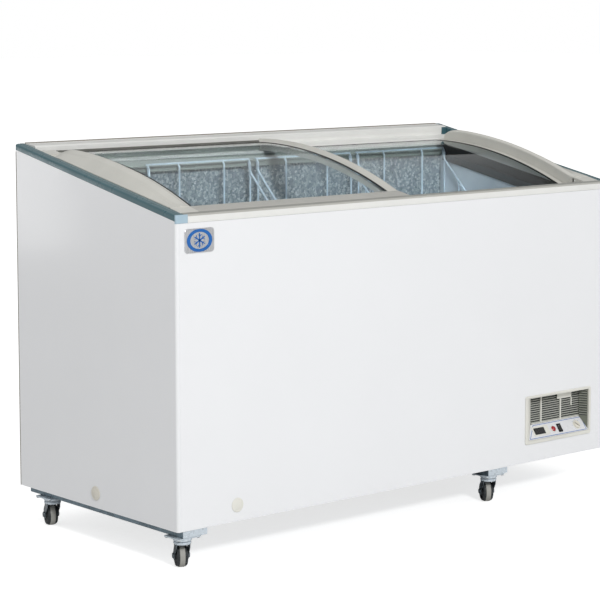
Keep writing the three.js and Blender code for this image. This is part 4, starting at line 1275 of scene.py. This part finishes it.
def base_channels():
    """Pressed steel channels under the cabinet, dark along their length, with end plates in a paler zinc
    that paints light on the ends.
    """
    bolts = []
    for side in ("left", "right"):
        span = Span(f"{side}_base_channel")
        x0, x1, z0, z1 = span.x0 - 5, span.x1, span.z0, span.z1
        t, lip = 2.2, 9
        outline = rounded([
            (x0, z0), (x0 + lip, z0), (x0 + lip, z0 + t), (x0 + t, z0 + t), (x0 + t, z1 - t),
            (x1 - t, z1 - t), (x1 - t, z0 + t), (x1 - lip, z0 + t), (x1 - lip, z0), (x1, z0),
            (x1, z1), (x0, z1),
        ], 1.0, 3)
        piece(f"{side}_channel_pressing", [along_y(outline, span.y0 + 1.5, span.y1 - 1.5)],
              "galvanised", [f"{side}_base_channel"])
        ends = [block(x0 + 0.3, x1 - 0.3, y, y + 1.8, z0 + 0.2, z1 - 0.2, 1.2)
                for y in (span.y0, span.y1 - 1.8)]
        # End plates in the paler zinc: painted light.
        piece(f"{side}_channel_ends", ends, "bright")
        hexagon = turned([(0, -3.4), (4.6, -3.4), (5.4, -2.6), (5.4, 0.2), (0, 0.2)], 6)
        bolts += [moved(hexagon, shift(span.middle[0], y, z1 - 2)) for y in (150, 300, 450)]
    piece("channel_bolts", bolts, "zinc")


def undercarriage():
    base_channels()
    for spot in SPOTS:
        caster(spot)


# ---- machinery
def machinery():
    """Compressor, condenser and fan in the space under the tub's step, with their pipes."""
    keep(("compressor",), "enamel_black", 1.2)
    keep(("condenser",), "zinc", 0.3)
    keep(("fan_motor",), "black", 0.8)
    keep(("fan_blade",), "silver", 0.3)
    top, coil_top = Span("compressor").z1 + 2, Span("condenser").z1
    outlet = [(1171, 440, top - 6), (1171, 440, top + 22), (1171, 300, top + 22), (1171, 130, 330),
              (1100, 92, 322), (1100, 80, coil_top + 1)]
    inlet = [(1090, 470, 270), (1090, 520, 300), (1090, 540, 250), (1150, 540, 200), (1240, 500, 180)]
    piece("copper_pipes", [tube(bent(path, 18.0, 8), 3.0, 12) for path in (outlet, inlet)], "copper")


# ---- stage
def aim(obj, place, ahead):
    """Sets a lamp or camera at a place, looking along `ahead`."""
    obj.location = place
    obj.rotation_mode = "QUATERNION"
    obj.rotation_quaternion = Vector(ahead).to_track_quat("-Z", "Y")


def light(name, place, target, size, power, height=None):
    """Rectangular lamp that no camera sees; square unless `height` is given."""
    lamp = bpy.data.lights.new(name, "AREA")
    lamp.shape = "RECTANGLE"
    lamp.size = size
    lamp.size_y = height or size
    lamp.energy = power
    obj = added(name, lamp)
    aim(obj, place, Vector(target) - Vector(place))
    obj.visible_camera = False


def staged(name, corners, look):
    """Four-cornered sheet that belongs to the studio and not to the freezer."""
    mesh = bpy.data.meshes.new(name)
    mesh.from_pydata(corners, [], [(0, 1, 2, 3)])
    mesh.materials.append(look.material)
    obj = added(name, mesh)
    return obj


def flag():
    """Dark card far behind, hidden from the camera, that keeps glare off the glass."""
    look = Look("flag_cloth", 0.95)
    look.color(look.mix(look.noise(30.0), (0.02, 0.02, 0.022, 1), (0.03, 0.03, 0.032, 1)))
    middle, half, low, high = Vector((3.4, 4.0, 0)), Vector((0.76, -0.65, 0)) * 5.0, 0.3, 2.6
    left, right = (middle - half).xy, (middle + half).xy
    card = staged("flag", [(*left, low), (*right, low), (*right, high), (*left, high)], look)
    card.visible_camera = False
    card.visible_diffuse = False
    card.visible_shadow = False


def studio():
    """Plain pale floor, white surroundings, one soft key from the front left and a weak fill behind.

    Floor and surroundings are brighter to the camera's eye than as a source of light.
    """
    world = bpy.data.worlds.new("studio")
    bpy.context.scene.world = world
    world.use_nodes = True
    tree = world.node_tree
    fill = tree.nodes["Background"]
    fill.inputs["Color"].default_value = (0.99, 0.993, 0.99, 1)
    fill.inputs["Strength"].default_value = 0.53
    seen = tree.nodes.new("ShaderNodeBackground")
    seen.inputs["Color"].default_value = (1, 1, 1, 1)
    by_ray(tree, "Is Camera Ray", fill, seen, "World Output")
    light("key", (-2.6, -7.3, 5.0), (0.1, 0.1, 0.6), 1.1, 362)
    light("back_softbox", (-2.3, 2.75, 0.55), (-0.7, 0.2, 0.75), 0.3, 2.5, 0.5)
    flag()
    look = Look("floor_paint", 0.7)
    look.color(look.clouded(2.0, 3.0, (0.78, 0.78, 0.78, 1), (0.8, 0.8, 0.8, 1)))
    look.put("Emission Color", (1, 1, 1, 1))
    seen_only = look.node("ShaderNodeLightPath").outputs["Is Camera Ray"]
    look.put("Emission Strength", look.math("MULTIPLY", seen_only, 0.72))
    reach = 40.0
    staged("floor", [(-reach, -reach, 0), (reach, -reach, 0), (reach, reach, 0), (-reach, reach, 0)], look)
    bpy.context.scene.view_settings.view_transform = "Standard"


def camera():
    """Standpoint in front and to the left, slightly above the freezer."""
    data = bpy.data.cameras.new("camera")
    obj = added("camera", data)
    bpy.context.scene.camera = obj
    yaw, pitch = math.radians(40.605), math.radians(6.506)
    ahead = (math.sin(yaw) * math.cos(pitch), math.cos(yaw) * math.cos(pitch), -math.sin(pitch))
    aim(obj, (-3.2776, -3.7292, 1.1736), ahead)
    data.sensor_width = 36.0
    data.lens = 125.57
    data.shift_y = -0.0833


camera()
studio()
shell()
rails()
end_caps()
lids()
tub()
baskets()
louvres()
console()
drain_plugs()
badge()
undercarriage()
machinery()

bpy.context.view_layer.update()
